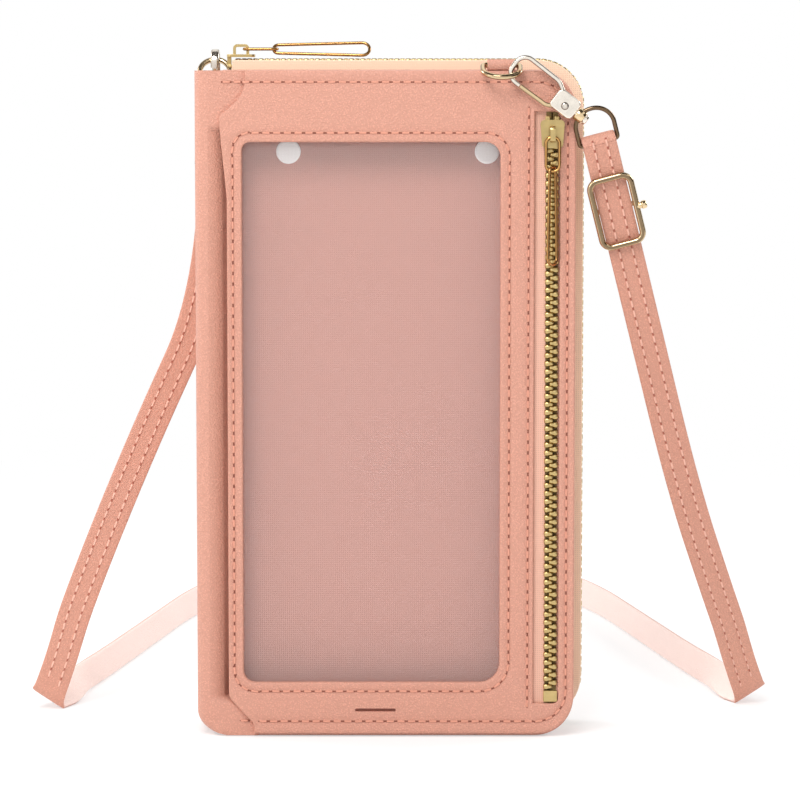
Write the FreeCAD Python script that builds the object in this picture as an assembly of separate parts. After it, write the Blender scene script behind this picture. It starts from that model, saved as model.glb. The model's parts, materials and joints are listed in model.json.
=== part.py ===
"""A zip-around phone pouch with a shoulder strap, in millimetres.

The pouch stands upright on its lower edge. +Z is up, the phone window faces -Y, the spine is at -X,
and the origin is the middle of the base.
"""
import FreeCAD
import Part
import math
import os

V = FreeCAD.Vector

# The case
half_width = 55.6
cover_height = 190.0
front_y = -13.1
leather = 1.2
corner_r = 11.0
spine_corner_r = 10.0
spine_wall = 1.4
spine_roll_r = 6.5
spine_band = 8.0
hinge_in = 9.4
hinge_gap = 0.2
rim = 4.0
zip_overhang = 3.3
leaf_lift = 0.3

# The layers behind the front face, in order
film = 0.3
phone_room = 8.4
pocket_ply = 0.6
coin_room = 3.0
lining = 0.6
main_room = 9.6
board = 1.2
board_gap = 0.2
turned_edge = 1.4

# The phone window
frame_left_in = 9.2
frame_right_in = 11.6
stile_left = 4.3
stile_right = 9.7
rail_bottom = 15.6
rail_top = 20.1
window_radii = (3.4, 5.7, 4.3, 2.3)
shoulder_run = 5.2
shoulder_bow = 2.3
shoulder_drop = 13.0
shoulder_taper = 23.0
foot_run = 7.2
foot_rise = 11.2
foot_step = 3.4
edge_soft = 3.0
slit_shift = 1.1
slit_length = 11.7
slit_width = 0.9
slit_z = 7.6
film_margin = 5.4
shoulder_ply_gap = 0.3
ply_lap = 0.8
pocket_right_in = 1.9
pad_r = 3.5
pad_t = 0.5
pad_left_in = 12.9
pad_right_in = 3.6
pad_drop = 2.9

# The zips
tape_t = 0.6
main_pitch = 3.2
coin_pitch = 2.3
tooth_width = 0.95
tip_share = 0.7
tooth_inset = 0.1
bead = 0.8
chain_half = 2.0
tooth_past_centre = 0.6
tooth_out = 0.5
tooth_in = 1.1
zip_r = 13.0
zip_rise = 3.0
zip_floor = 2.0
zip_lip = 9.0
zip_start_gap = 0.8
coin_in = 6.7
coin_rise = 13.2
coin_drop = 14.4
tape_gap = 0.1
coin_tooth_proud = 0.3
stop_height = 3.2
strip_chain_gap = 0.2
strip_bridge = 11.5
strip_foot = 9.5
strip_gap = 0.2

# The sliders and pulls
slider_length = 8.0
slider_wide = 3.5
slider_narrow = 2.9
slider_under = 2.6
slider_plate = 0.8
slider_gap = 0.3
slider_soft = 1.2
post_length = 1.2
post_half = 0.6
bail_length = 4.6
bail_width = 1.5
bail_height = 2.9
bail_bar = 0.8
main_slider_in = 2.4
coin_slider_drop = 3.4
pull_wire = 0.45
link_half = 1.9
link_length = 7.6
loop_length = 26.0
loop_wide = 2.4
loop_narrow = 1.5
loop_bend_share = 0.9
coin_loop_turn = 55.0
main_loop_turn = 50.0

# Wires, tabs and D-rings
wire_flats = 8
bend_step = 30.0
tab_thick = 3.2
tab_soft = 1.5
tab_right_in = 9.55
tab_right_back = -1.9
tab_right_nose = -13.5
tab_left_in = 4.4
tab_left_foot_drop = 15.0
tab_left_nose_drop = 2.4
ring_wire = 0.8
ring_play = 0.15
ring_corner = 1.2
ring_reach = 8.6
ring_right_half = 5.2
ring_left_half = 4.4
ring_right_droop = 23.0
ring_left_rise = 55.0

# Snap hooks, measured along (from the claw) and across the hook
claw_half = 4.6
claw_bar = 1.3
claw_t = 2.4
claw_slot_end = 14.6
claw_slot_r = 2.5
barrel_start = 15.0
barrel_end = 22.5
barrel_half = 3.0
barrel_t = 3.8
gate_tip = 5.7
gate_start = 5.4
gate_bar = 1.5
gate_t = 1.0
gate_play = 0.3
gate_pivot = 19.0
gate_offset = -0.6
gate_root = 1.6
pin_r = 0.7
pin_play = 0.06
pin_head_r = 1.1
pin_head = 0.4
neck_r = 1.0
neck_play = 0.05
neck_head_r = 1.6
neck_head = 0.8
collar_r = 1.9
collar_length = 2.6
collar_gap = 0.3
ring_seat = 3.1
ring_seat_right = -0.6
ring_seat_left = -1.6
hook_right_y = -15.9
hook_right_dip = 38.0

# Swivel eyes, strap and buckle
eye_r = 5.5
eye_bar_drop = 4.6
eye_wire = 0.65
eye_corner = 0.7
strap_width = 9.6
strap_t = 1.6
strap_bore = 0.9
strap_return_length = 22.0
strap_sewn_length = 14.0
fold_share = 0.45
arc_shares = (0.0, 0.25, 0.5, 0.75, 1.0)
buckle_down = 20.0
buckle_half = 10.0
buckle_wire = 0.9
buckle_corner = 2.6
buckle_gap = 0.25
buckle_bar_r = 0.75
buckle_side_gap = 0.35
knob_r = 1.2
knob_length = 2.0

# The card pockets of the back cover
card_left_in = 8.2
card_right_in = 14.3
card_rise = 22.0
card_drop = 50.0
card_step = 28.0
card_ply = 0.6
card_count = 3

# Places worked out from the sizes above
cover_right = half_width - zip_overhang
hinge_x = hinge_in - half_width
frame_left = frame_left_in - half_width
frame_right = cover_right - frame_right_in
window_left = frame_left + stile_left
window_right = frame_right - stile_right
window_bottom = rail_bottom
window_top = cover_height - rail_top
pocket_right = frame_right - pocket_right_in
slit_left = (window_left + window_right) / 2 + slit_shift - slit_length / 2
coin_x = cover_right - coin_in
coin_bottom = coin_rise
coin_top = cover_height - coin_drop
coin_slider_z = coin_top - coin_slider_drop
strip_left = coin_x + chain_half + strip_chain_gap
strip_bridge_z = cover_height - strip_bridge
tab_right_x = frame_right - tab_right_in
tab_left_x = tab_left_in - half_width
tab_left_foot = cover_height - tab_left_foot_drop
tab_left_nose = cover_height - tab_left_nose_drop
frame_back = front_y + leather
film_back = frame_back + film
phone_back = film_back + phone_room
wall_back = phone_back + pocket_ply
coin_back = wall_back + coin_room
floor_back = coin_back + leather
lining_back = floor_back + lining
room_back = lining_back + main_room
leaf_lining_back = room_back + lining
board_back = leaf_lining_back + board
back_y = board_back + leather
zip_top = cover_height + zip_rise
zip_right = half_width - tooth_out
zip_start = hinge_x + zip_start_gap
main_slider_x = zip_start + main_slider_in
chain_y = (lining_back + room_back) / 2
spine_front_x = spine_band - half_width
overrun = half_width

X, Y, Z = V(1, 0, 0), V(0, 1, 0), V(0, 0, 1)
nodes = {}


def in_plane(origin, a, b):
    """A function that puts (a, b, c) lengths along two given axes and their normal."""
    c = a.cross(b)
    return lambda p, q, r=0.0: origin + a * p + b * q + c * r


FRONTAL = in_plane(V(), X, Z)
PLAN = in_plane(V(), X, Y)
SIDE = in_plane(V(), Y, Z)


def rounded_edges(points, at, closed=True):
    """Straight runs joined by tangent arcs through (p, q, radius) corners."""
    flat = [V(p, q, 0) for p, q, _ in points]
    count = len(flat)
    starts, ends, mids = [], [], []
    for i, (corner, (_, _, radius)) in enumerate(zip(flat, points)):
        back = flat[i - 1] - corner
        ahead = flat[(i + 1) % count] - corner
        back.normalize()
        ahead.normalize()
        turn = math.pi - back.getAngle(ahead)
        if radius <= 0 or turn < 1e-6:
            starts.append(corner)
            ends.append(corner)
            mids.append(None)
            continue
        reach = radius * math.tan(turn / 2)
        towards = back + ahead
        towards.normalize()
        starts.append(corner + back * reach)
        ends.append(corner + ahead * reach)
        mids.append(corner + towards * (radius / math.cos(turn / 2) - radius))

    def place(point):
        return at(point.x, point.y)

    edges = []
    for i in range(count):
        if mids[i] is not None:
            edges.append(Part.Arc(place(starts[i]), place(mids[i]), place(ends[i])).toShape())
        follow = starts[(i + 1) % count]
        if (closed or i < count - 1) and (follow - ends[i]).Length > 1e-6:
            edges.append(Part.LineSegment(place(ends[i]), place(follow)).toShape())
    return edges


def prism(points, at, low, high):
    """An outline of (p, q, radius) corners, drawn out along the plane's normal."""
    wire = Part.Wire(rounded_edges(points, lambda p, q: at(p, q, low)))
    return Part.Face(wire).extrude(at(0, 0, high) - at(0, 0, low))


def plate(points, y0, y1):
    """An outline in X and Z, from the depth y0 back to y1."""
    return prism(points, FRONTAL, -y0, -y1)


def rect(x0, x1, z0, z1, r=0.0):
    return [(x0, z0, r), (x1, z0, r), (x1, z1, r), (x0, z1, r)]


def box(x0, x1, y0, y1, z0, z1):
    return Part.makeBox(x1 - x0, y1 - y0, z1 - z0, V(x0, y0, z0))


def rod(start, end, r):
    return Part.makeCylinder(r, (end - start).Length, start, end - start)


def wire_form(points, at, r, closed=True):
    """A bent wire with flats round its section, lofted along the straights and arcs of an outline."""
    normal = at(0, 0, 1) - at(0, 0, 0)
    r_corner = r / math.cos(math.pi / wire_flats)
    angles = [2 * math.pi * (i + 0.5) / wire_flats for i in range(wire_flats)]

    def section(edge, parameter):
        centre, side = edge.valueAt(parameter), edge.tangentAt(parameter).cross(normal)
        corners = [centre + (normal * math.sin(t) + side * math.cos(t)) * r_corner for t in angles]
        return Part.makePolygon(corners + corners[:1])

    edges = rounded_edges(points, at, closed)
    stations = []
    for edge in edges:
        first, last = edge.ParameterRange
        straight = isinstance(edge.Curve, Part.Line)
        steps = 1 if straight else math.ceil(math.degrees(last - first) / bend_step)
        stations += [section(edge, first + (last - first) * i / steps) for i in range(steps)]
    if not closed:
        return Part.makeLoft(stations + [section(edges[-1], edges[-1].LastParameter)], True, True)
    half = len(stations) // 2
    first = Part.makeLoft(stations[:half + 1], True, True)
    return first.fuse(Part.makeLoft(stations[half:] + stations[:1], True, True))


def ring_points(half, low, high, corner, crown):
    """A D outline: a bar at the low end and a crown at the high end, starting mid-bar."""
    return [(0, low, 0), (half, low, corner), (half, high, crown),
            (-half, high, crown), (-half, low, corner)]


# Front half of the case

def cover_outline(left, lower_left_r=0.0, base=0.0):
    return [(left, base, lower_left_r), (cover_right, base, corner_r),
            (cover_right, cover_height, corner_r), (left, cover_height, 0)]


def corner_plies():
    """The leather that shows beside the frame's shoulder and foot, above and below the film."""
    film_low, film_high = window_bottom - film_margin, window_top + film_margin
    shoulder = rect(spine_front_x, frame_left + shoulder_run + ply_lap,
                    film_high + shoulder_ply_gap, cover_height - rim)
    foot = rect(spine_front_x, frame_left + foot_run + ply_lap, rim, film_low - shoulder_ply_gap)
    return [plate(outline, frame_back, frame_back + leather) for outline in (shoulder, foot)]


def make_front_panel():
    """The tray of the front cover: a floor with a raised rim sewn round three sides."""
    inner_left = spine_wall - half_width
    floor = plate(cover_outline(inner_left, spine_corner_r - spine_wall), coin_back, floor_back)
    raised = plate(cover_outline(spine_front_x), frame_back, coin_back)
    inside = rect(-overrun, cover_right - rim, rim, cover_height - rim, corner_r - rim)
    tray = floor.fuse(raised.cut(plate(inside, frame_back, coin_back)))
    return tray.fuse(corner_plies()).removeSplitter()


def make_spine():
    """The rolled spine: a U of leather, rounded off at its lower corner."""
    section = [(spine_front_x, frame_back, 0), (-half_width, frame_back, spine_roll_r),
               (-half_width, back_y, spine_roll_r), (hinge_x - hinge_gap, back_y, 0),
               (hinge_x - hinge_gap, back_y - spine_wall, 0),
               (spine_wall - half_width, back_y - spine_wall, spine_roll_r - spine_wall),
               (spine_wall - half_width, frame_back + spine_wall, spine_roll_r - spine_wall),
               (spine_front_x, frame_back + spine_wall, 0)]
    rolled = prism(section, PLAN, 0, cover_height)
    return rolled.common(plate(cover_outline(-half_width, spine_corner_r), frame_back, back_y))


def frame_outline():
    """The window frame's edge, with its S-shaped shoulder and cut-back foot at the open side."""
    left = frame_left
    return [(left + foot_run, 0, 0), (frame_right, 0, 0), (frame_right, cover_height, 0),
            (left + shoulder_run, cover_height, 0),
            (left + shoulder_run, cover_height - shoulder_drop / 2, edge_soft),
            (left - shoulder_bow, cover_height - shoulder_drop, edge_soft / 2),
            (left, cover_height - shoulder_drop - shoulder_taper, edge_soft * edge_soft),
            (left, foot_rise, edge_soft), (left + foot_run, foot_step, edge_soft / 2)]


def make_window_frame():
    corners = [(window_left, window_bottom), (window_right, window_bottom),
               (window_right, window_top), (window_left, window_top)]
    window = [(x, z, r) for (x, z), r in zip(corners, window_radii)]
    slit = rect(slit_left, slit_left + slit_length, slit_z - slit_width / 2, slit_z + slit_width / 2,
                slit_width / 2 - film / 10)
    blank = plate(frame_outline(), front_y, frame_back)
    return blank.cut([plate(window, front_y, frame_back), plate(slit, front_y, frame_back)])


def make_window_film():
    reach = rect(window_left - film_margin / 2, window_right + film_margin, window_bottom - film_margin,
                 window_top + film_margin)
    return plate(reach, frame_back, film_back)


def make_pocket_wall():
    """The phone pocket's back, its closed right side, and the lip that shuts the coin pocket."""
    low, high = rim, cover_height - rim
    back = box(spine_front_x, pocket_right, phone_back, wall_back, low, high)
    side = box(pocket_right - pocket_ply, pocket_right, frame_back, phone_back, low, high)
    lip = box(spine_front_x, spine_front_x + pocket_ply, wall_back, coin_back, low, high)
    return back.fuse([side, lip]).removeSplitter()


def make_pocket_pads():
    height = window_top - pad_drop
    places = [V(x, phone_back, height) for x in (window_left + pad_left_in, window_right - pad_right_in)]
    return Part.makeCompound([rod(place, place - Y * pad_t, pad_r) for place in places])


def make_edge_strip():
    """The leather right of the coin zip, which bridges across above and below the zip."""
    bridge = frame_right + strip_gap
    outline = [(bridge, 0, 0), (cover_right, 0, corner_r), (cover_right, cover_height, corner_r),
               (bridge, cover_height, 0), (bridge, strip_bridge_z, 0),
               (strip_left, strip_bridge_z, slider_soft), (strip_left, strip_foot, slider_soft),
               (bridge, strip_foot, 0)]
    return plate(outline, front_y, frame_back)


def lining_outline(left):
    right = zip_right - zip_lip - strip_gap
    low, high = zip_floor + zip_lip + strip_gap, zip_top - zip_lip - strip_gap
    return [(left, low, 0), (right, low, zip_r - zip_lip), (right, high, zip_r - zip_lip), (left, high, 0)]


nodes["front_panel"] = make_front_panel()
nodes["spine"] = make_spine()
nodes["window_frame"] = make_window_frame()
nodes["window_film"] = make_window_film()
nodes["pocket_wall"] = make_pocket_wall()
nodes["pocket_pads"] = make_pocket_pads()
nodes["edge_strip"] = make_edge_strip()
nodes["front_lining"] = plate(lining_outline(spine_wall - half_width), floor_back, lining_back)


# Back half of the case

def make_back_panel():
    """The back cover's leather, turned over the edge of its board."""
    outline = cover_outline(hinge_x, 0, leaf_lift)
    left, right = hinge_x + turned_edge, cover_right - turned_edge
    low, high = leaf_lift + turned_edge, cover_height - turned_edge
    inside = [(left, low, 0), (right, low, corner_r - turned_edge),
              (right, high, corner_r - turned_edge), (left, high, 0)]
    return plate(outline, leaf_lining_back, back_y).cut(plate(inside, leaf_lining_back, board_back))


def make_back_board():
    inset = turned_edge + board_gap
    left, right = hinge_x + inset, cover_right - inset
    low, high = leaf_lift + inset, cover_height - inset
    outline = [(left, low, 0), (right, low, corner_r - inset),
               (right, high, corner_r - inset), (left, high, 0)]
    return plate(outline, leaf_lining_back, board_back)


nodes["back_panel"] = make_back_panel()
nodes["back_board"] = make_back_board()
nodes["back_lining"] = plate(lining_outline(zip_start), room_back, leaf_lining_back)
for ply in range(card_count):
    pocket = rect(hinge_x + card_left_in, cover_right - card_right_in, card_rise,
                  cover_height - card_drop - card_step * ply, edge_soft)
    rear = room_back - card_ply * ply
    nodes["card_pocket_%d" % (ply + 1)] = plate(pocket, rear - card_ply, rear)


# The main zip, which runs along the top, down the right and under the base

def zip_ring(inside, outside, y0, y1):
    """A band of the zip's path between two offsets from it, open at the spine."""
    points = []
    for offset, order in ((outside, 1), (inside, -1)):
        right, high, low = zip_right + offset, zip_top + offset, zip_floor - offset
        bend = zip_r + offset
        run = [(zip_start, high, 0), (right, high, bend), (right, low, bend), (zip_start, low, 0)]
        points += run[::order]
    return plate(points, y0, y1)


def zip_length():
    top = zip_right - zip_r - zip_start
    side = zip_top - zip_floor - 2 * zip_r
    return top, side, zip_r * math.pi / 2


def zip_station(s):
    """The point, direction and outward normal at a length s along the zip, from its upper start."""
    top, side, bend = zip_length()
    right, upper, lower = zip_right - zip_r, zip_top - zip_r, zip_floor + zip_r
    if s <= top:
        return V(zip_start + s, 0, zip_top), X, Z
    if s <= top + bend:
        turn = (s - top) / zip_r
        out = V(math.sin(turn), 0, math.cos(turn))
        return V(right, 0, upper) + out * zip_r, V(out.z, 0, -out.x), out
    if s <= top + bend + side:
        return V(zip_right, 0, upper - (s - top - bend)), -Z, X
    if s <= top + side + 2 * bend:
        turn = (s - top - bend - side) / zip_r
        out = V(math.cos(turn), 0, -math.sin(turn))
        return V(right, 0, lower) + out * zip_r, V(out.z, 0, -out.x), out
    return V(right - (s - top - side - 2 * bend), 0, zip_floor), -X, -Z


def tooth(at, root, tip, low, high):
    """One tooth: a tapered stub across the zip, from its root to its tip."""
    half, end = tooth_width / 2, tooth_width * tip_share / 2
    outline = [(-half, root, 0), (half, root, 0), (end, tip, 0), (-end, tip, 0)]
    return prism(outline, at, low, high)


def make_main_teeth(side, shift):
    """One row of the main zip: a bead along the tape's edge with its teeth; side is +1 at the back."""
    root = chain_y + side * (chain_half - bead)
    edge = chain_y + side * chain_half
    tip = chain_y - side * tooth_past_centre
    row = zip_ring(-tooth_in, tooth_out, min(root, edge), max(root, edge))
    top, across, bend = zip_length()
    count = int((2 * top + across + 2 * bend) / main_pitch) - 1
    teeth = []
    for i in range(count):
        point, along, out = zip_station(main_pitch * (i + shift))
        at = in_plane(point, along, Y)
        outward = out.dot(at(0, 0, 1) - point)
        inner, outer = tooth_in - tooth_inset, tooth_out - tooth_inset
        teeth.append(tooth(at, root, tip, -outward * inner, outward * outer))
    return row.fuse(teeth)


def make_main_tape(lip_y0, lip_y1, edge_y):
    lip = zip_ring(-zip_lip, 0, lip_y0, lip_y1)
    near, far = sorted(((lip_y0 if edge_y < lip_y0 else lip_y1), edge_y))
    return lip.fuse(zip_ring(-tape_t, 0, near, far)).removeSplitter()


nodes["main_tape_front"] = make_main_tape(floor_back, lining_back, chain_y - chain_half)
nodes["main_tape_back"] = make_main_tape(room_back, leaf_lining_back, chain_y + chain_half)
nodes["main_teeth_front"] = make_main_teeth(-1, 0.5)
nodes["main_teeth_back"] = make_main_teeth(1, 1.0)


# The coin zip, which runs straight down beside the window

coin_front = front_y - coin_tooth_proud
coin_rear = frame_back + tape_t


def make_coin_teeth(side, shift):
    root = coin_x + side * (chain_half - bead)
    edge = coin_x + side * chain_half
    tip = coin_x - side * tooth_past_centre
    row = box(min(root, edge), max(root, edge), coin_front, coin_rear, coin_bottom, coin_top)
    count = int((coin_top - coin_bottom) / coin_pitch)
    teeth = []
    for i in range(count):
        at = in_plane(V(0, 0, coin_bottom + coin_pitch * (i + shift)), Z, X)
        teeth.append(tooth(at, root, tip, coin_front + tooth_inset, coin_rear - tooth_inset))
    return row.fuse(teeth)


def make_coin_stops():
    left = box(coin_x - chain_half, coin_x - tooth_past_centre, coin_front, coin_rear,
               coin_top, coin_top + stop_height / 2)
    return Part.makeCompound([left, left.mirror(V(coin_x, 0, 0), X)])


tape_low, tape_high = corner_r, cover_height - corner_r
nodes["coin_tape_left"] = box(pocket_right + tape_gap, coin_x - chain_half, frame_back, coin_rear,
                              tape_low, tape_high)
nodes["coin_tape_right"] = box(coin_x + chain_half, cover_right - rim, frame_back, coin_rear,
                               tape_low, tape_high)
nodes["coin_teeth_left"] = make_coin_teeth(-1, 0.5)
nodes["coin_teeth_right"] = make_coin_teeth(1, 1.0)
nodes["coin_top_stops"] = make_coin_stops()
nodes["coin_bottom_stop"] = box(coin_x - chain_half, coin_x + chain_half, coin_front, coin_rear,
                                coin_bottom - stop_height, coin_bottom)


# Sliders and pulls

def make_slider(at, upper, lower):
    """A slider over a chain: u runs to the closed teeth, v across and w outwards.

    upper and lower are the heights of the inner faces of its two plates.
    """
    half = slider_length / 2
    shield = [(-half, -slider_wide, slider_soft), (half, -slider_narrow, slider_soft),
              (half, slider_narrow, slider_soft), (-half, slider_wide, slider_soft)]
    under = [(-half, -slider_under, slider_soft), (half, -slider_under, slider_soft),
             (half, slider_under, slider_soft), (-half, slider_under, slider_soft)]
    crown = upper + slider_plate
    pieces = [prism(shield, at, upper, crown), prism(under, at, lower - slider_plate, lower)]
    post = [(-half, -post_half, 0), (post_length - half, -post_half, 0),
            (post_length - half, post_half, 0), (-half, post_half, 0)]
    pieces.append(prism(post, at, lower, upper))
    arch = in_plane(at(0, -bail_width / 2, crown), at(1, 0) - at(0, 0), at(0, 0, 1) - at(0, 0))
    outer = [(-bail_length / 2, 0, 0), (bail_length / 2, 0, 0),
             (bail_length / 2, bail_height, slider_soft), (-bail_length / 2, bail_height, slider_soft)]
    inner_half, inner_top = bail_length / 2 - bail_bar, bail_height - bail_bar
    inner = [(-inner_half, 0, 0), (inner_half, 0, 0), (inner_half, inner_top, bail_bar / 2),
             (-inner_half, inner_top, bail_bar / 2)]
    bail = prism(outer, arch, 0, -bail_width).cut(prism(inner, arch, 0, -bail_width))
    return pieces[0].fuse(pieces[1:] + [bail])


def make_link(at):
    """An oval wire link hung at (0, 0), reaching along its first axis."""
    far = link_length - link_half
    outline = [(far / 2, link_half, 0), (link_length, link_half, link_half - pull_wire / 10),
               (link_length, -link_half, link_half - pull_wire / 10),
               (-link_half, -link_half, link_half - pull_wire / 10),
               (-link_half, link_half, link_half - pull_wire / 10)]
    return wire_form(outline, at, pull_wire)


def make_loop(at):
    """A long drop-shaped wire loop hung at (0, 0), narrow at its top."""
    top = -loop_narrow
    wide_bend, narrow_bend = loop_wide * loop_bend_share, loop_narrow * loop_bend_share
    outline = [(loop_length / 2, (loop_narrow + loop_wide) / 2, 0), (loop_length, loop_wide, wide_bend),
               (loop_length, -loop_wide, wide_bend), (top, -loop_narrow, narrow_bend),
               (top, loop_narrow, narrow_bend)]
    return wire_form(outline, at, pull_wire)


main_upper = tooth_out + slider_gap
main_lower = -tooth_in - slider_gap
main_at = in_plane(V(main_slider_x, chain_y, zip_top), X, Y)
coin_upper = frame_back - coin_front + slider_gap
coin_lower = -tape_t - slider_gap
coin_at = in_plane(V(coin_x, frame_back, coin_slider_z), -Z, X)
nodes["main_slider"] = make_slider(main_at, main_upper, main_lower)
nodes["coin_slider"] = make_slider(coin_at, coin_upper, coin_lower)

bail_mid = slider_plate + bail_height - bail_bar - pull_wire - ring_play
link_hang = bail_length / 2 - bail_bar - pull_wire - ring_play
main_hinge = main_at(link_hang, 0, main_upper + bail_mid)
coin_hinge = coin_at(link_hang, 0, coin_upper + bail_mid)
loop_start = link_length - 2 * pull_wire - ring_play + loop_narrow
main_hang = in_plane(main_hinge + X * link_half, X, Y)
coin_hang = in_plane(coin_hinge - Z * link_half, -Z, X)


def turned(flat, normal, degrees):
    return flat * math.cos(math.radians(degrees)) + normal * math.sin(math.radians(degrees))


nodes["main_link"] = make_link(main_hang)
nodes["coin_link"] = make_link(coin_hang)
nodes["main_loop"] = make_loop(in_plane(main_hang(loop_start, 0), X, turned(Y, Z, main_loop_turn)))
nodes["coin_loop"] = make_loop(in_plane(coin_hang(loop_start, 0), -Z, turned(X, Y, coin_loop_turn)))


# Tabs and D-rings

def make_tab(at, run, thick, ring_half):
    """A folded leather tab: a slab with a round nose, bored for the bar of its ring."""
    outline = [(0, 0, 0), (run, 0, tab_soft), (run, thick, tab_soft), (0, thick, tab_soft / 2)]
    half = ring_half - ring_corner - ring_play
    slab = prism(outline, at, -half, half)
    bore = run - thick / 2
    return slab.cut(rod(at(bore, thick / 2, -half), at(bore, thick / 2, half), ring_wire + ring_play))


def make_d_ring(bar, out, half):
    return wire_form(ring_points(half, 0, ring_reach, ring_corner, half - ring_play),
                     in_plane(bar, X, out), ring_wire)


tab_right_at = in_plane(V(tab_right_x, tab_right_back, cover_height), -Y, Z)
tab_left_at = in_plane(V(tab_left_x, back_y, tab_left_foot), Z, Y)
tab_right_run = tab_right_back - tab_right_nose
tab_left_run = tab_left_nose - tab_left_foot
nodes["tab_right"] = make_tab(tab_right_at, tab_right_run, tab_thick, ring_right_half)
nodes["tab_left"] = make_tab(tab_left_at, tab_left_run, tab_thick, ring_left_half)
right_bar = tab_right_at(tab_right_run - tab_thick / 2, tab_thick / 2)
left_bar = tab_left_at(tab_left_run - tab_thick / 2, tab_thick / 2)
droop, rise = math.radians(ring_right_droop), math.radians(ring_left_rise)
right_out = V(0, -math.cos(droop), -math.sin(droop))
left_out = V(0, math.cos(rise), math.sin(rise))
nodes["d_ring_right"] = make_d_ring(right_bar, right_out, ring_right_half)
nodes["d_ring_left"] = make_d_ring(left_bar, left_out, ring_left_half)


# Snap hooks

def make_hook(at):
    """The claw, barrel and neck of a snap hook, in its own along and across lengths."""
    outer = [(0, -claw_half, claw_half - claw_bar), (0, claw_half, claw_half - claw_bar),
             (claw_slot_end, claw_half, claw_bar), (barrel_end - barrel_half, barrel_half, claw_bar),
             (barrel_end, barrel_half, pin_r), (barrel_end, -barrel_half, pin_r),
             (barrel_start, -barrel_half, pin_r), (gate_start, -claw_half, 0)]
    inner = [(claw_bar, claw_bar - claw_half, claw_slot_r), (claw_bar, claw_half - claw_bar, claw_slot_r),
             (claw_slot_end, claw_half - claw_bar, claw_slot_r),
             (claw_slot_end, claw_bar - claw_half, claw_slot_r)]
    claw = prism(outer, at, -claw_t / 2, claw_t / 2)
    barrel = prism([(barrel_start, -barrel_half, 0), (barrel_end, -barrel_half, pin_r),
                    (barrel_end, barrel_half, pin_r), (barrel_start, barrel_half, pin_r)],
                   at, -barrel_t / 2, barrel_t / 2)
    mouth = [(gate_start, -2 * claw_half, 0), (barrel_start, -2 * claw_half, 0),
             (barrel_start, -barrel_half / 2, 0), (gate_start, -barrel_half / 2, 0)]
    slot_half = gate_t / 2 + gate_play
    root_room = gate_root + gate_play
    slot = [(gate_start, -2 * claw_half, 0), (gate_pivot + root_room, -2 * claw_half, 0),
            (gate_pivot + root_room, gate_offset + root_room, 0), (gate_start, gate_offset + root_room, 0)]
    body = claw.cut([prism(inner, at, -claw_t, claw_t), prism(mouth, at, -claw_t, claw_t)]).fuse(barrel)
    bore = rod(at(gate_pivot, gate_offset, -barrel_t), at(gate_pivot, gate_offset, barrel_t),
               pin_r + pin_play)
    body = body.cut([prism(slot, at, -slot_half, slot_half), bore])
    collar_end = barrel_end + collar_gap + collar_length + collar_gap
    neck = rod(at(barrel_end, 0), at(collar_end, 0), neck_r)
    head = rod(at(collar_end, 0), at(collar_end + neck_head, 0), neck_head_r)
    return body.fuse([neck, head])


def make_gate(at):
    """The sprung lever that shuts the hook, bored for its pin."""
    outline = [(gate_tip, -claw_half, gate_play), (gate_tip, gate_bar - claw_half, gate_play),
               (barrel_start, gate_bar - claw_half + gate_play, gate_bar),
               (gate_pivot - gate_root / 2, gate_offset + gate_root - gate_play, pin_r),
               (gate_pivot + gate_root - gate_play, gate_offset + gate_root - gate_play, pin_r),
               (gate_pivot + gate_root - gate_play, gate_offset - gate_root, pin_r),
               (barrel_start, -claw_half, gate_bar)]
    bore = rod(at(gate_pivot, gate_offset, -gate_t), at(gate_pivot, gate_offset, gate_t), pin_r + pin_play)
    return prism(outline, at, -gate_t / 2, gate_t / 2).cut(bore)


def make_gate_pin(at):
    half = barrel_t / 2
    shank = rod(at(gate_pivot, gate_offset, -half), at(gate_pivot, gate_offset, half), pin_r)
    heads = [rod(at(gate_pivot, gate_offset, side * half),
                 at(gate_pivot, gate_offset, side * (half + pin_head)), pin_head_r) for side in (-1, 1)]
    return shank.fuse(heads)


dip = math.radians(hook_right_dip)
right_along = V(math.cos(dip), 0, -math.sin(dip))
right_across = V(math.sin(dip), 0, math.cos(dip))
right_cross = right_bar + X * ring_right_half + right_out * ((right_bar.y - hook_right_y) / math.cos(droop))
right_claw = right_cross - right_along * ring_seat - right_across * ring_seat_right
left_crown = left_bar + left_out * ring_reach
left_claw = left_crown + Z * ring_seat - Y * ring_seat_left
hooks = {"right": in_plane(right_claw, right_along, right_across), "left": in_plane(left_claw, -Z, Y)}
for side, at in hooks.items():
    nodes["hook_" + side] = make_hook(at)
    nodes["gate_" + side] = make_gate(at)
    nodes["gate_pin_" + side] = make_gate_pin(at)


# The strap: its route, and the frames of its two ends

aim_right = V(0.245, 0.248, -0.937)
aim_left = V(-0.03, 0.02, -1.0)
first_right = 108.0
first_left = 36.0
route_right = [V(97.0, 24.0, 35.0), V(108.2, 38.6, 5.0), V(104.2, 47.0, 5.0), V(96.5, 74.0, 5.0),
               V(85.0, 140.0, 5.0), V(69.5, 230.0, 5.0), V(43.0, 283.0, 5.0)]
route_back = [V(0.0, 302.0, 5.0)]
route_left = [V(-43.0, 278.0, 5.0), V(-67.5, 223.0, 5.0), V(-80.5, 140.0, 5.0), V(-91.0, 74.0, 5.0),
              V(-97.4, 42.0, 5.0), V(-102.8, 29.0, 5.0), V(-89.5, 27.0, 42.0), V(-72.0, 25.0, 84.0)]
fold_y = 40.0
bend_y = 200.0
FACE_FRONT = V(0, -1, 0)
FACE_FOLD = V(0, -0.7, -0.7)
collar_mid = barrel_end + collar_gap + collar_length / 2


def across(direction, facing):
    """The part of a facing that is square to a direction."""
    square = facing - direction * facing.dot(direction)
    square.normalize()
    return square


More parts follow.
